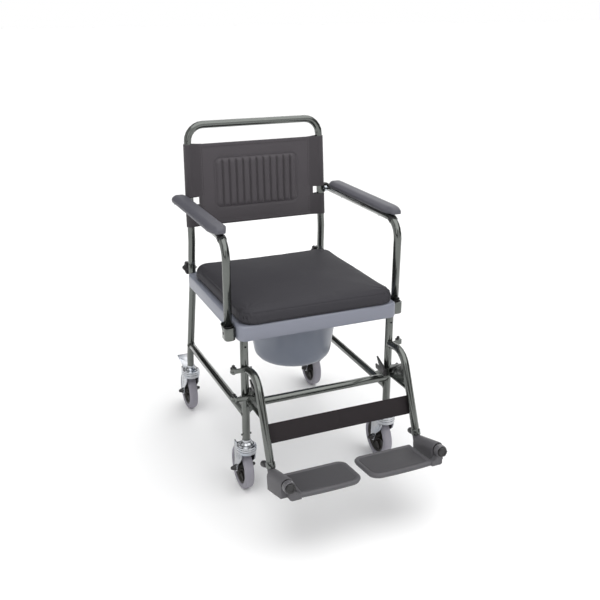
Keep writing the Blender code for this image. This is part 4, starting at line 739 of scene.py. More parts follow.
class AddWelds(bpy.types.Operator):
    """Add the weld beads where rails meet legs and posts"""

    bl_idname = "chair.welds"
    bl_label = "Weld beads"

    def execute(self, context):
        rng = random.Random(7)
        for name, side in SIDES.items():
            welds = Shape()
            leg = Vector((side * LEG_HALF, LEG_Y, 0))
            rail_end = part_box("side_rail_" + name)[1].y + 0.0035
            for origin, along in ((leg + Z * CROSSBAR_Z, X * -side), (leg + Z * RAIL_Z, Y),
                                  (Vector((side * RAIL_REAR_HALF, rail_end, RAIL_Z)), Y * -1)):
                path = [place + along * rng.uniform(-0.0002, 0.0003) for place in weld_path(origin, along, Z)]
                welds.swept(path, sizes().weld, 6, closed=True)
            welds.made("welds_" + name, "frame_paint", "frame")
        return {"FINISHED"}


def crumple(place, corner, reach, depth, folds):
    """How far a fold that runs out of a corner moves the skin at a place."""
    away = Vector((place.x - corner.x, place.y - corner.y))
    distance = away.length
    if distance > reach:
        return 0.0
    fade = (1 - distance / reach) ** 1.5 * min(1.0, distance / (reach * 0.12))
    return depth * fade * math.sin(folds * math.atan2(away.y, away.x))


class AddCushion(bpy.types.Operator):
    """Fill the seat cushion by cloth simulation, then sew its seams and gathers"""

    bl_idname = "chair.cushion"
    bl_label = "Seat cushion"

    SPREAD = 0.0035
    CORNER_R = 0.038
    SEAM_DROP = 0.0125
    GATHER_INSET = 0.016
    GATHER_REACH = 0.060
    FRAMES = 20

    def execute(self, context):
        low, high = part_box("seat_cushion")
        centre = (low + high) / 2
        mesh = NODES["seat_cushion"].data.copy()
        bm = bmesh.new()
        bm.from_mesh(mesh)
        bmesh.ops.remove_doubles(bm, verts=bm.verts, dist=0.00001)
        wider = 1 + 2 * self.SPREAD / (high.x - low.x)
        deeper = 1 + 2 * self.SPREAD / (high.y - low.y)
        for vertex in bm.verts:
            vertex.co.x = centre.x + (vertex.co.x - centre.x) * wider
            vertex.co.y = centre.y + (vertex.co.y - centre.y) * deeper
        bm.to_mesh(mesh)
        bm.free()
        cushion = bpy.data.objects.new("cushion_padded", mesh)
        context.scene.collection.objects.link(cushion)
        remesh = cushion.modifiers.new("grain", "REMESH")
        remesh.mode = "VOXEL"
        remesh.voxel_size = sizes().voxel
        baked(cushion, remesh)
        self.fill(context, cushion, low.z)
        subdivision = cushion.modifiers.new("smooth", "SUBSURF")
        subdivision.levels = 1
        subdivision.render_levels = 1
        baked(cushion, subdivision)
        self.sew(cushion, low, high)
        dress(cushion, "seat_vinyl", "cushion", 60.0)
        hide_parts("seat_cushion")

        edge = Vector((0.0045, 0.0045))
        line = rounded(low.xy + edge, high.xy - edge, [self.CORNER_R] * 4, 8)
        line = [place.to_3d() + Z * (low.z + 0.0022) for place in line]
        piping = Shape().swept(line, 0.0016, 8, closed=True)
        piping = piping.made("cushion_piping", "seat_vinyl", "cushion", 60.0)
        return {"FINISHED"}

    def fill(self, context, cushion, floor):
        """Blow the skin up a little, held to the pan below and to a largest movement."""
        rest = np.empty(len(cushion.data.vertices) * 3)
        cushion.data.vertices.foreach_get("co", rest)
        cloth = cushion.modifiers.new("fill", "CLOTH")
        settings = cloth.settings
        settings.quality = 6
        settings.mass = 0.25
        settings.tension_stiffness = 28
        settings.compression_stiffness = 20
        settings.bending_stiffness = 0.4
        settings.use_pressure = True
        settings.uniform_pressure_force = 4.0
        settings.effector_weights.gravity = 0.0
        cloth.point_cache.frame_start = 1
        cloth.point_cache.frame_end = self.FRAMES
        for step in range(1, self.FRAMES + 1):
            context.scene.frame_set(step)
        baked(cushion, cloth)
        context.scene.frame_set(1)
        filled = np.empty(len(cushion.data.vertices) * 3)
        cushion.data.vertices.foreach_get("co", filled)
        rest = rest.reshape(-1, 3)
        moved = filled.reshape(-1, 3) - rest
        far = np.linalg.norm(moved, axis=1, keepdims=True)
        limit = sizes().swell
        moved *= np.minimum(1.0, limit / np.maximum(far, 1e-9))
        moved[:, :2] *= 0.45
        places = rest + moved
        places[:, 2] = np.maximum(places[:, 2], floor)
        cushion.data.vertices.foreach_set("co", places.ravel())
        cushion.data.update()

    def sew(self, cushion, low, high):
        """Press the seam round the top edge and the gathers at the corners into the skin."""
        seam = high.z - self.SEAM_DROP
        bm = bmesh.new()
        bm.from_mesh(cushion.data)
        bm.normal_update()
        inset = self.GATHER_INSET
        corners = [Vector((x, y, 0)) for x in (low.x + inset, high.x - inset)
                   for y in (low.y + inset, high.y - inset)]
        for vertex in bm.verts:
            place = vertex.co
            outward = vertex.normal
            sideways = math.hypot(outward.x, outward.y)
            groove = 0.0016 * bell(place.z - seam, 0.0016) * min(1.0, sideways * 2)
            welt = 0.0006 * bell(place.z - seam - 0.0034, 0.0018) * sideways
            gather = sum(crumple(place, corner, 0.065, 0.0013, 11) for corner in corners)
            side_gather = 0.0
            for corner in corners:
                away = (place - corner).xy
                near = away.length / self.GATHER_REACH
                if near < 1 and place.z < seam:
                    angle = math.atan2(away.y, away.x)
                    side_gather += 0.0009 * (1 - near) * math.sin(angle * 17 + place.z * 240)
            sag = 0.0
            if outward.z > 0.6:
                sag = 0.0007 * math.sin(place.x * 31 + 1.3) * math.sin(place.y * 23 + 0.4)
            vertex.co = place + outward * (welt - groove + gather + side_gather * sideways + sag)
            vertex.co.z = max(vertex.co.z, low.z)
        bm.to_mesh(cushion.data)
        bm.free()


class AddSling(bpy.types.Operator):
    """Add the back cloth: one sheet sewn round both tubes, with embossed ribs, hems and stitches"""

    bl_idname = "chair.sling"
    bl_label = "Back cloth"

    SEAM = 0.173
    SETBACK = 0.0045
    WRAP_R = TUBE_R + 0.0014
    THICKNESS = 0.0016
    FIELD_CORNER = 0.016
    WINDOW_HALF = 0.012
    WINDOW_INNER = 0.184
    WINDOW_WIDTH = 0.028
    COLUMNS = 288

    def emboss(self, x, z):
        """How far the cloth stands out of its plane at a place."""
        middle = (FIELD_LOW + FIELD_HIGH) / 2
        over_x = abs(x) - FIELD_HALF + self.FIELD_CORNER
        over_z = abs(z - middle) - (FIELD_HIGH - FIELD_LOW) / 2 + self.FIELD_CORNER
        outside = math.hypot(max(over_x, 0), max(over_z, 0)) + min(max(over_x, over_z), 0) - self.FIELD_CORNER
        pitch = 2 * FIELD_HALF / RIBS
        from_groove = abs((x + FIELD_HALF + pitch / 2) % pitch - pitch / 2)
        ridge = 1 - bell(from_groove, 0.0038)
        height = sizes().rib_height * ridge * (1 - bell(max(-outside, 0), 0.005))
        return height - 0.0017 * bell(outside - 0.002, 0.0026)

    def section(self, z):
        """The cloth's middle line at a height: rear flap, sleeve, panel, sleeve, rear flap."""
        tube = back_tube(z)
        beside = tube.x - self.WRAP_R * 1.25
        half = [(self.SEAM - 0.004, 0.0030 - self.SETBACK), (self.SEAM + 0.004, 0.0032 - self.SETBACK),
                (beside, self.WRAP_R * 0.62)]
        for index in range(17):
            turn = on_circle(math.radians(125 - 250 * index / 16), self.WRAP_R)
            half.append((tube.x + turn.x, turn.y))
        half += [(beside, -self.WRAP_R * 0.72), (self.WINDOW_INNER + 0.001, -self.SETBACK - 0.0014),
                 (self.SEAM + 0.004, -self.SETBACK)]
        across = [self.SEAM * (1 - 2 * index / self.COLUMNS) for index in range(self.COLUMNS + 1)]
        panel = [(x, -self.SETBACK - self.emboss(x, z)) for x in across]
        line = half + panel + [(-x, depth) for x, depth in half[::-1]]
        return [Vector((x, tube.y + depth, z)) for x, depth in line]

    def execute(self, context):
        low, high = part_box("back_sling")
        window = (ARM_TUBE_Z - self.WINDOW_HALF, ARM_TUBE_Z + self.WINDOW_HALF)
        heights = set(np.round(np.linspace(low.z, high.z, 59), 5)) | {round(z, 5) for z in window}
        steps = (-0.004, -0.003, -0.002, -0.0015, 0.0, 0.0015, 0.003)
        heights |= {round(end + step, 5) for end in (FIELD_LOW, FIELD_HIGH) for step in steps}
        heights = sorted(heights)
        levels = [self.section(z) for z in heights]
        hem = sizes().hem
        for z, level in zip(heights, levels):
            edge = min(z - low.z, high.z - z)
            thick = 0.0007 if edge < hem else 0.0
            pinch = 0.0006 * bell(edge - hem, 0.0012)
            for place in level:
                if abs(place.x) < self.SEAM:
                    place.y += pinch - thick
        sheet = Shape()
        sheet.points = [place for level in levels for place in level]
        count = len(levels[0])
        for row in range(len(levels) - 1):
            for column in range(count - 1):
                corners = (row * count + column, row * count + column + 1,
                           (row + 1) * count + column + 1, (row + 1) * count + column)
                centre = sum((sheet.points[corner] for corner in corners), Vector()) / 4
                if abs(centre.x) > self.WINDOW_INNER and window[0] < centre.z < window[1]:
                    continue
                sheet.faces.append(corners)
        sling = sheet.made("back_cloth", "back_cloth", "back", 70.0, weld=False)
        solidify = sling.modifiers.new("cloth", "SOLIDIFY")
        solidify.thickness = self.THICKNESS
        solidify.offset = 0.0
        baked(sling, solidify)
        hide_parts("back_sling")

        thread = Shape()
        face = self.SETBACK + self.THICKNESS / 2
        for x in (-self.SEAM - 0.001, -self.SEAM + 0.004, self.SEAM + 0.001, self.SEAM - 0.004):
            for start, end in ((low.z + 0.004, window[0] - 0.003), (window[1] + 0.003, high.z - 0.004)):
                path = [Vector((x, back_tube(z).y - face, z)) for z in np.linspace(start, end, 9)]
                thread.stitches(path, Y * -1)
        for z in (low.z + hem - 0.002, high.z - hem + 0.002):
            end = self.SEAM - 0.008
            thread.stitches([Vector((x, back_tube(z).y - face - 0.0002, z)) for x in (-end, end)], Y * -1)
        thread.made("back_thread", "strap_web", "back", 60.0)
        return {"FINISHED"}


class AddStraps(bpy.types.Operator):
    """Add the two halves of the calf strap, each screwed behind its hanger tube"""

    bl_idname = "chair.straps"
    bl_label = "Calf strap"

    HALF_WIDTH = 0.025
    HALF_THICK = 0.0011
    HALF_GAP = 0.0002
    BOW = 0.0018
    BOW_END = 0.21
    # Rows of stitches, each between two places: reach from the middle and shift down the hanger
    ROWS = (((0.004, -0.0215), (0.196, -0.0215)), ((0.004, 0.0215), (0.196, 0.0215)),
            ((0.183, -0.019), (0.183, 0.019)), ((0.189, -0.019), (0.189, 0.019)))

    def execute(self, context):
        for name, side in SIDES.items():
            low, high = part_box("calf_strap_" + name)
            middle = (low + high) / 2
            start = side * self.HALF_GAP
            end = high.x if side > 0 else low.x
            rings = []
            for share in np.linspace(0, 1, 41):
                x = start + (end - start) * share
                bow = self.BOW * math.cos(math.pi / 2 * min(1.0, abs(x) / self.BOW_END))
                centre = Vector((x, middle.y, middle.z)) + HANGER_REAR * bow
                rings.append([
                    centre + HANGER_DOWN * self.HALF_WIDTH * across
                    + HANGER_REAR * self.HALF_THICK * hand * (1 - 0.35 * abs(across) ** 8)
                    for hand in (-1, 1) for across in np.linspace(hand, -hand, 15)
                ])
            strap = Shape().rings(rings)
            strap = strap.made("calf_strap_web_" + name, "strap_web", "legrest_" + name, 60.0)
            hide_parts("calf_strap_" + name)
            thread = Shape()
            for row in self.ROWS:
                path = [Vector((side * reach, middle.y, middle.z)) + HANGER_DOWN * shift
                        - HANGER_REAR * (self.HALF_THICK + 0.0001) for reach, shift in row]
                thread.stitches(path, HANGER_REAR * -1, 0.0004)
            thread.made("calf_thread_" + name, "strap_web", "legrest_" + name, 60.0)
        return {"FINISHED"}


class AddArmPads(bpy.types.Operator):
    """Add the moulded arm pads with chamfered tops, pointed noses and their screws"""

    bl_idname = "chair.arm_pads"
    bl_label = "Arm pads"

    # Shares of the half width and of the height, round one flank
    FLANK = (
        (0.70, 0.0), (0.93, 0.03), (0.99, 0.12), (1.0, 0.30), (0.995, 0.46), (0.97, 0.54), (0.93, 0.60),
        (0.62, 0.89), (0.58, 0.925), (0.55, 0.93), (0.52, 0.955), (0.46, 0.985), (0.38, 1.0), (0.12, 1.0),
    )
    # Distance from the end, then shares: the width, the height and the lift of the underside
    NOSE = (
        (0.0000, 0.30, 0.42, 0.10), (0.0006, 0.42, 0.54, 0.04), (0.0022, 0.50, 0.64, 0.0),
        (0.0050, 0.56, 0.74, 0.0), (0.0075, 0.60, 0.81, 0.0), (0.0082, 0.61, 0.82, 0.26),
        (0.0135, 0.68, 0.90, 0.30), (0.0145, 0.69, 0.91, 0.0), (0.0200, 0.77, 0.96, 0.0),
        (0.0280, 0.88, 0.99, 0.0), (0.0360, 0.97, 1.0, 0.0), (0.0420, 1.0, 1.0, 0.0),
    )
    TAIL = (
        (0.0300, 1.0, 1.0, 0.0), (0.0200, 0.96, 1.0, 0.0), (0.0110, 0.86, 0.97, 0.0),
        (0.0050, 0.74, 0.88, 0.0), (0.0018, 0.64, 0.74, 0.02), (0.0004, 0.54, 0.60, 0.06),
        (0.0000, 0.44, 0.48, 0.12),
    )
    HOLLOW = 0.045

    def execute(self, context):
        for name, side in SIDES.items():
            low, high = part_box("arm_pad_" + name)
            middle = (low + high) / 2
            half = (high.x - low.x) / 2
            height = high.z - low.z
            section = [(-across, rise) for across, rise in self.FLANK] + list(self.FLANK[::-1])
            stations = [(low.y + reach, *shares) for reach, *shares in self.NOSE]
            for share in np.linspace(0.16, 0.86, 15):
                width = 1 - self.HOLLOW * math.sin(math.pi * share)
                stations.append((low.y + (high.y - low.y) * share, width, 1.0, 0.0))
            stations += [(high.y - reach, *shares) for reach, *shares in self.TAIL]
            rings = []
            for y, width, rise, lift in stations:
                rings.append([
                    Vector((middle.x + across * half * width, y,
                            low.z + height * (rise * level if level > 0.2 else max(lift, rise * level))))
                    for across, level in section
                ])
            pad = Shape().rings(rings).made("arm_pad_skin_" + name, "pad_foam", "arm_" + name, 55.0)
            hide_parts("arm_pad_" + name)

            screws = Shape()
            for y in (low.y + 0.09, high.y - 0.07):
                seat = Vector((side * ARM_HALF, y, ARM_TUBE_Z - TUBE_R))
                head = mm((0, -2.2), (1.6, -2), (3, -1.2), (3.4, 0.2), (3.4, 1.2), (0, 1.2))
                screws.turned(head, seat, Z, 20)
            screws.made("arm_pad_screws_" + name, "zinc", "arm_" + name)
        return {"FINISHED"}


class AddArmFittings(bpy.types.Operator):
    """Add the arm tubes' caps, collars and bushes, and the fittings of their sockets"""

    bl_idname = "chair.arm_fittings"
    bl_label = "Arm fittings"

    CAP_INSET = 0.0085
    COLLAR_TURN = math.radians(66)
    SCREW_RISE = 0.019
    EAR_INSET = 0.0125
    EAR_DEPTH = 0.010
    LINER_INSET = 0.0150
    CLEAR = 0.0002

    def dress_socket(self, name, side):
        """The screw, the rolled ear, the liner and the spacer of one arm socket."""
        low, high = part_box("arm_socket_" + name)
        middle_y = (low.y + high.y) / 2
        outer = Vector((side * (ARM_HALF + SOCKET_HALF_WIDTH + 0.0003), middle_y, low.z + self.SCREW_RISE))
        head = mm((0, 0), (1, 0), (1.1, -0.9), (2.2, -0.9), (3.4, 0.4), (3.6, -0.4), (3.6, -3), (0, -3))
        Shape().turned(head, outer, X * side, 24).made("socket_screw_" + name, "black_plastic", "frame")

        rings = []
        middle = Vector((side * ARM_HALF, high.y - self.EAR_INSET, high.z))
        for index in range(15):
            outward = on_circle(math.radians(-30 + 200 * index / 14))
            outward.x *= side
            flare = math.sin(math.pi * index / 14) ** 0.6
            rings.append([
                middle + outward * 0.0130 - Z * self.EAR_DEPTH,
                middle + outward * 0.0150 - Z * self.EAR_DEPTH,
                middle + outward * (0.0152 + 0.0035 * flare) + Z * 0.0055 * flare,
                middle + outward * (0.0138 + 0.0035 * flare) + Z * 0.0060 * flare,
            ])
        Shape().rings(rings).made("socket_ear_" + name, "frame_paint", "frame")

        mouth = Vector((side * ARM_HALF, high.y - self.LINER_INSET, high.z - 2 * self.CLEAR))
        rim = mm((11.3, -10), (11.3, 0.6), (11.9, 1), (12.5, 0.6), (12.5, -10))
        Shape().turned(rim, mouth, Z, 36).made("socket_liner_" + name, "black_plastic", "frame")

        reach = ARM_HALF - SOCKET_HALF_WIDTH - SPACER_START
        profile = mm((5.2, 0))
        for start in (0, reach / 3, reach * 2 / 3):
            profile += mm((9.6, 0), past=start) + mm((10, 0), past=start + reach / 9)
            profile += mm((9.6, 0), past=start + reach / 4.5)
        profile += mm((5.2, 0), past=reach)
        start = Vector((side * (SPACER_START + 0.0001), middle_y, SPACER_Z))
        Shape().turned(profile, start, X * side, 28).made("socket_spacer_" + name, "black_plastic", "frame")

    def execute(self, context):
        for name, side in SIDES.items():
            arm = "arm_" + name
            end_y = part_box("arm_tube_" + name)[1].y
            tail = Vector((side * ARM_HALF, end_y - self.CAP_INSET, ARM_TUBE_Z))
            cap = mm((0, -10), (11.1, -10), (11.8, -9.6), (11.8, 1), (11.2, 4), (9.2, 7.2), (6, 9.1),
                     (0, 9.8))
            Shape().turned(cap, tail, Y, 32).made("arm_cap_" + name, "black_plastic", arm)

            along = Vector((0, math.sin(self.COLLAR_TURN), math.cos(self.COLLAR_TURN)))
            middle = Vector((side * ARM_HALF, ARM_RISER_Y + ARM_BEND_R * (1 - along.z),
                             ARM_TUBE_Z - ARM_BEND_R * (1 - along.y)))
            ring = mm((10.9, -6), (12.1, -5.6), (12.4, 0), (12.1, 5.6), (10.9, 6))
            Shape().turned(ring, middle, along, 32).made("arm_collar_" + name, "black_plastic", arm)
            self.dress_socket(name, side)

            pivot = back_tube(ARM_TUBE_Z, side) + X * side * (TUBE_R + self.CLEAR)
            ring = mm((8.8, 0), (10.8, 0.4), (11.2, 1.4), (10.8, 2.4), (8.8, 2.8))
            Shape().turned(ring, pivot, X * side, 28).made("pivot_bush_" + name, "black_plastic", "back")
        return {"FINISHED"}


class AddBucket(bpy.types.Operator):
    """Add the bucket: one turned wall with a rolled rim and a foot ring"""

    bl_idname = "chair.bucket"
    bl_label = "Bucket"

    WALL = 0.0028
    FOOT_R = 0.0825
    KNEE_R = 0.030
    TOP_R = 0.1345

    def execute(self, context):
        low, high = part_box("bucket")
        centre = Vector(((low.x + high.x) / 2, (low.y + high.y) / 2, 0))
        floor = low.z
        rim_r = (high.x - low.x) / 2
        outer = mm((0, 4), (70, 4), (74.5, 1), (77.5, 0), (self.FOOT_R * 1000, 0), past=floor)
        for index in range(1, 9):
            angle = math.pi * 0.47 * index / 8
            outer.append((self.FOOT_R + self.KNEE_R * math.sin(angle),
                          floor + self.KNEE_R * (1 - math.cos(angle))))
        radius, height = outer[-1]
        for share in (0.2, 0.4, 0.6, 0.8, 0.90):
            outer.append((radius + (self.TOP_R - 0.002 - radius) * share,
                          height + (high.z - 0.003 - height) * share))
        outer += mm((-1.5, -16), (1, -14.5), (1, -4), past=high.z, out=self.TOP_R)
        outer += mm((-0.6, -2.8), (0, -1.5), (-0.6, 0), past=high.z, out=rim_r)
        outer.append((self.TOP_R - self.WALL, high.z))
        inner = [(radius - self.WALL, max(z, floor + 0.004) + self.WALL * 0.6)
                 for radius, z in outer[-8:4:-1]]
        profile = outer + inner + [(0, floor + 0.0075)]
        bucket = Shape().turned(profile, centre, Z, 96)
        bucket = bucket.made("bucket_shell", "bucket_plastic", "pail", 40.0)
        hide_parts("bucket")
        return {"FINISHED"}


class AddHangerFittings(bpy.types.Operator):
    """Add the hangers' pin tips, the tube collars, the ribbed height knobs and the star knobs' caps"""

    bl_idname = "chair.hanger_fittings"
    bl_label = "Hanger fittings"

    def execute(self, context):
        for name, side in SIDES.items():
            body = "legrest_" + name
            tips = Shape()
            for barrel in BARREL_TOPS:
                pin = Vector((side * HANGER_PIN_HALF, LEG_Y, barrel))
                head = mm((0, 0.2), (6.2, 0.2), (6.6, 1), (6.2, 1.8), (4.2, 2.6), (4.1, 4.8), (4.4, 5.6),
                          (4, 7), (2, 8.6), (0, 9))
                tips.turned(head, pin, Z, 24)
            tips.made("hanger_tips_" + name, "black_plastic", body)

            foot = mirrored(side, Vector((HANGER_HALF, HANGER_FOOT.y, HANGER_FOOT.z)))
            ring = mm((10.6, -15.5), (12, -15), (12.3, -14), (12.3, -1), (12, -0.2), (10.6, 0))
            Shape().turned(ring, foot, HANGER_DOWN, 36).made("tube_collar_" + name, "frame_paint", body)

            middle = foot - HANGER_DOWN * KNOB_UP
            outward = HANGER_REAR * math.cos(KNOB_SPLAY) + X * side * math.sin(KNOB_SPLAY)
            profile = mm((0, 10.8), (5, 10.8), (5.6, 11.2), (5.6, 19), (6.2, 20.6), (8, 22.2), (8.5, 24),
                         (8.5, 38.6), (8, 42.4), (6, 45.8), (0, 46.3))
            knob = Shape().turned(profile, middle, outward, 72, ribbed(0.0005, 12, 0.023, 0.041))
            knob.turned(mm((0, 8), (3, 8), (3, 11.2), (0, 11.2)), middle, outward, 16)
            knob = knob.made("height_knob_grip_" + name, "black_plastic", "height_clamp_" + name)
            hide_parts("height_knob_" + name)

            star = middle_of("star_knob_" + name)
            star.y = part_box("star_knob_" + name)[1].y
            profile = mm((0, -0.4), (7.2, -0.4), (7.8, 0.2), (7.4, 1.2), (5, 1.7), (0, 1.8))
            Shape().turned(profile, star, Y, 28).made("star_cap_" + name, "black_plastic", "clamp_" + name)
        return {"FINISHED"}


class AddFootrestFittings(bpy.types.Operator):
    """Add the ribbed hinge caps and sleeves, and the footplates with their textured fields"""

    bl_idname = "chair.footrest_fittings"
    bl_label = "Footrest fittings"

    CORNER_RADII = (0.005, 0.030, 0.026, 0.005)
    FRONT_BOW = 0.0035
    # How far each level line lies inside the outline, and its height
    SHELL = (
        (0.0070, 0.0), (0.0046, 0.0003), (0.0030, 0.0016), (0.0022, 0.0040), (0.0018, 0.0058),
        (0.0004, 0.0066), (0.0, 0.0084), (0.0006, 0.0106), (0.0022, 0.0126), (0.0046, 0.0136),
        (0.0074, 0.0134), (0.0098, 0.0124), (0.0116, 0.0112),
    )
    FIELD = ((0.0122, 0.0105), (0.0122, 0.0116), (0.0128, 0.0120))

    def plate_ring(self, side, inset, rise):
        """One level line of the footplate: wide round corners inside, small ones at the housing."""
        low = Vector((PLATE_INNER + inset, PLATE_FRONT - PLATE_LENGTH + inset))
        high = Vector((PLATE_OUTER - inset, PLATE_FRONT - inset))
        middle = (low + high) / 2
        half = (high - low) / 2
        radii = [max(radius - inset, 0.0008) for radius in self.CORNER_RADII]
        places = rounded(low, high, radii, 9)
        ring = []
        for place, onward in zip(places, places[1:] + places[:1]):
            parts = 6 if (onward - place).length > 0.02 else 1
            ring += [place.lerp(onward, part / parts) for part in range(parts)]
        origin = FOOT_HINGE + FOOT_UP * (rise - PLATE_DROP)
        bowed = []
        for place in ring:
            away = (place.x - middle.x) / half.x
            bow = self.FRONT_BOW * away * away * max(0.0, (place.y - middle.y) / half.y)
            bowed.append(origin + X * side * place.x + FOOT_FORWARD * (place.y - bow))
        return bowed

    def execute(self, context):
        for name, side in SIDES.items():
            hinge = mirrored(side, Vector((HANGER_HALF, FOOT_HINGE.y, FOOT_HINGE.z)))
            profile = mm((0, -40), (4.5, -40), (4.5, 0.5), (12.2, 0.5), (12.8, 1.4), (12.7, 3.6), (12, 5.2),
                         (11, 6.1), (10, 6.4), (7.4, 6.4), (6.8, 5), (0, 4.8), past=PLATE_FRONT)
            cap = Shape().turned(profile, hinge, FOOT_FORWARD, 72,
                                 ribbed(0.0007, 6, PLATE_FRONT + 0.0006, PLATE_FRONT + 0.0055))
            cap = cap.made("hinge_cap_" + name, "black_plastic", "footrest_" + name)
            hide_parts("foot_bolt_" + name)

            profile = mm((13, 3.5), (14.6, 3.6), (15.1, 4.4), (15.3, 6), past=KNUCKLE_REAR)
            profile += mm((15.3, -3.6), (15.1, -1.4), (14.7, -0.3), (14.1, 0.2), (13.4, 0.2), (13, -0.2),
                          (12.8, -1), past=PLATE_FRONT)
            sleeve = Shape().turned(profile, hinge, FOOT_FORWARD, 96,
                                    ribbed(0.0004, 16, KNUCKLE_REAR + 0.0050, PLATE_FRONT - 0.0030))
            sleeve.made("knuckle_sleeve_" + name, "knuckle_plastic", "plate_" + name)
            # Near-black rings at both ends of the sleeve: painted shade in the gaps beside the housing and
            # the plate.
            recess = Shape()
            for profile in (mm((12, 0.4), (14.7, 0.4), (14.7, 3.4), (12, 3.4), past=KNUCKLE_REAR),
                            mm((11.2, 0), (12.8, 0), (12.8, 0.25), (11.2, 0.25), past=PLATE_FRONT)):
                recess.turned(profile, hinge, FOOT_FORWARD, 64)
            recess.made("knuckle_recess_" + name, "hole_dark", "plate_" + name)

            plate = Shape().rings([self.plate_ring(side, inset, rise) for inset, rise in self.SHELL])
            root = (PLATE_OUTER - HANGER_HALF) * 1000 - 6
            arm = mm((root, -35), (-4, -35), (1, -32), (2, -15), (0, -8), (-10, -9), (-15, -15), (-19, -21),
                     (root, -24))
            plate.rings([
                [hinge + X * side * out * size + FOOT_UP * rise + FOOT_FORWARD * along for out, rise in arm]
                for along, size in ((KNUCKLE_REAR + 0.0010, 0.96), (KNUCKLE_REAR + 0.0022, 1.0),
                                    (PLATE_FRONT - 0.0022, 1.0), (PLATE_FRONT - 0.0010, 0.96))
            ])
            plate = plate.made("footplate_shell_" + name, "footrest_plastic", "plate_" + name, 40.0)
            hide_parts("footplate_" + name)

            field = Shape().rings([self.plate_ring(side, inset, rise) for inset, rise in self.FIELD])
            field.made("footplate_field_" + name, "footrest_tread", "plate_" + name)
        return {"FINISHED"}


class AddFrameFittings(bpy.types.Operator):
    """Add the near-black discs of painted shade in the holes of the legs, and the rings at the feet of legs
    and posts
    """

    bl_idname = "chair.frame_fittings"
    bl_label = "Frame fittings"

    def execute(self, context):
        for name, side in SIDES.items():
            # A near-black disc just in front of the leg at its hole: painted shade for the hole's inside.
            hole = Vector((side * LEG_HALF, LEG_Y - TUBE_R - 0.0002, LEG_HOLE_Z))
            rim = mm((0, 0.1), (2.6, 0.1), (2.6, -1.2), (0, -1.2))
            Shape().turned(rim, hole, Y * -1, 20).made("leg_hole_" + name, "hole_dark", "frame")
            ends = Shape()
            for half, y in ((LEG_HALF, LEG_Y), (POST_FOOT_HALF, POST_FOOT_Y)):
                ring = mm((10.9, -3.5), (11.6, -3.2), (11.8, 0), (11.6, 3.2), (10.9, 3.5))
                ends.turned(ring, Vector((side * half, y, LEG_FOOT_Z)), Z, 32)
            ends.made("leg_rings_" + name, "zinc", "frame")
        return {"FINISHED"}


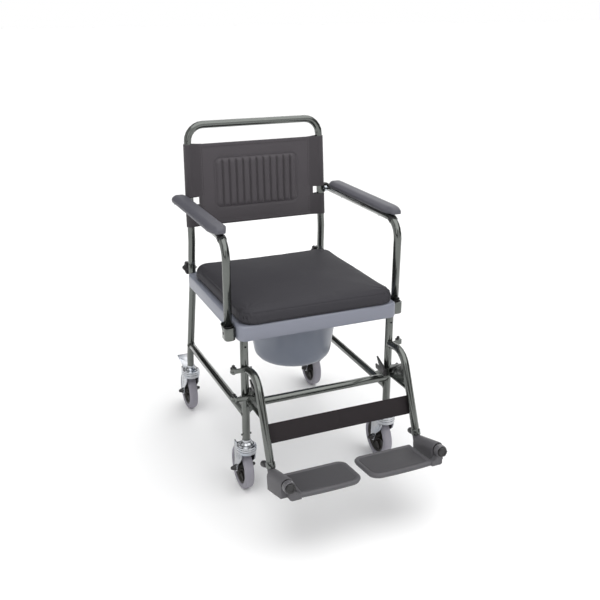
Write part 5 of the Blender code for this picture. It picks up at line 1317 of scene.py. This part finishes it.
class AddStage(bpy.types.Operator):
    """Add the pale floor, the soft studio lights, the world and the camera"""

    bl_idname = "chair.stage"
    bl_label = "Studio"

    FLOOR_HALF = 40.0
    AZIMUTH = math.radians(-23.201)
    ELEVATION = math.radians(20.507)
    LENS = 48.159
    SUN_FROM = Vector((0.14, -0.26, 0.90))
    CEILING = 0.50
    # Name, place, size and power
    LAMPS = (("key_light", (-1.9, -2.1, 1.9), 1.9, 16.0), ("rear_light", (0.9, 1.9, 2.0), 1.6, 9.0))
    DISTANCE = 2.3332
    AIM = Vector((0.0293, 0.04755, 0.4642))

    def execute(self, context):
        scene = context.scene
        mesh = bpy.data.meshes.new("floor")
        ends = (-self.FLOOR_HALF, self.FLOOR_HALF)
        mesh.from_pydata([(x, y, 0) for y in ends for x in ends], [], [(0, 1, 3, 2)])
        floor = bpy.data.objects.new("floor", mesh)
        scene.collection.objects.link(floor)
        surface = Surface("floor_paper", 0.95, specular=0.05)
        cloud = surface.noise(2.0)
        surface.feed("Base Color", surface.blend(cloud, (0.94, 0.94, 0.94), (0.97, 0.97, 0.97)))
        mesh.materials.append(surface.material)

        self.light_studio(scene)

        level = math.cos(self.ELEVATION)
        backward = Vector((math.sin(self.AZIMUTH) * level, -math.cos(self.AZIMUTH) * level,
                           math.sin(self.ELEVATION)))
        camera_data = bpy.data.cameras.new("camera")
        camera_data.sensor_width = 36.0
        camera_data.lens = self.LENS
        camera = bpy.data.objects.new("camera", camera_data)
        scene.collection.objects.link(camera)
        camera.location = self.AIM + backward * self.DISTANCE
        camera.rotation_euler = backward.to_track_quat("Z", "Y").to_euler()
        scene.camera = camera
        scene.view_settings.view_transform = "Standard"
        return {"FINISHED"}

    def light_studio(self, scene):
        """White for the camera; for everything else soft windows of light with darker walls between."""
        world = bpy.data.worlds.new("studio")
        world.use_nodes = True
        tree = world.node_tree
        background = tree.nodes["Background"]
        background.inputs["Color"].default_value = (1, 1, 1, 1)
        room = Nodes(tree, "Generated")
        split = room.node("ShaderNodeSeparateXYZ", {}, {0: room.place})
        east, north, rise = (Number(room, split.outputs[axis]) for axis in range(3))
        turn = room.maths("ARCTAN2", east, 0 - north)
        wave = room.maths("SINE", turn * 3 + 0.9)
        windows = room.clamp(wave, 0.05, 0.45) + 0.01
        ceiling = room.clamp(rise, 0.35, 0.80)
        level = windows * (1 - ceiling) + ceiling * self.CEILING
        paths = room.node("ShaderNodeLightPath", {}, {})
        seen = room.maths("MAXIMUM", paths.outputs["Is Camera Ray"], paths.outputs["Is Transmission Ray"])
        tree.links.new((level * (1 - seen) + seen).socket, background.inputs["Strength"])
        scene.world = world

        sun = bpy.data.lights.new("soft_sun", "SUN")
        sun.energy = 2.15
        sun.angle = math.radians(84)
        sun.specular_factor = 0.35
        light = bpy.data.objects.new("soft_sun", sun)
        scene.collection.objects.link(light)
        light.rotation_euler = self.SUN_FROM.to_track_quat("Z", "Y").to_euler()
        for name, place, size, power in self.LAMPS:
            data = bpy.data.lights.new(name, "AREA")
            data.shape = "SQUARE"
            data.size = size
            data.energy = power
            light = bpy.data.objects.new(name, data)
            scene.collection.objects.link(light)
            light.location = place
            aim = Vector((0, 0, 0.5)) - Vector(place)
            light.rotation_euler = aim.to_track_quat("-Z", "Y").to_euler()


OPERATORS = (
    ShowSolids, AddWheels, AddForkTrim, AddWelds, AddCushion, AddSling, AddStraps, AddArmPads, AddArmFittings,
    AddBucket, AddHangerFittings, AddFootrestFittings, AddFrameFittings, AddStage,
)


class ChairPanel(bpy.types.Panel):
    """Lists the chair's settings and its pieces."""

    bl_idname = "CHAIR_PT_pieces"
    bl_label = "Commode Chair"
    bl_space_type = "VIEW_3D"
    bl_region_type = "UI"
    bl_category = "Commode Chair"

    def draw(self, context):
        layout = self.layout
        for group in (context.scene.chair_colours, context.scene.chair_sizes):
            box = layout.box()
            for name in group.__annotations__:
                box.prop(group, name)
        for operator in OPERATORS:
            layout.operator(operator.bl_idname)


CLASSES = (ChairColours, ChairSizes, *OPERATORS, ChairPanel)


def register():
    for each in CLASSES:
        bpy.utils.register_class(each)
    bpy.types.Scene.chair_colours = bpy.props.PointerProperty(type=ChairColours)
    bpy.types.Scene.chair_sizes = bpy.props.PointerProperty(type=ChairSizes)


def unregister():
    del bpy.types.Scene.chair_sizes
    del bpy.types.Scene.chair_colours
    for each in reversed(CLASSES):
        bpy.utils.unregister_class(each)


def main():
    register()
    for operator in OPERATORS:
        group, name = operator.bl_idname.split(".")
        getattr(getattr(bpy.ops, group), name)()


if __name__ == "__main__":
    main()
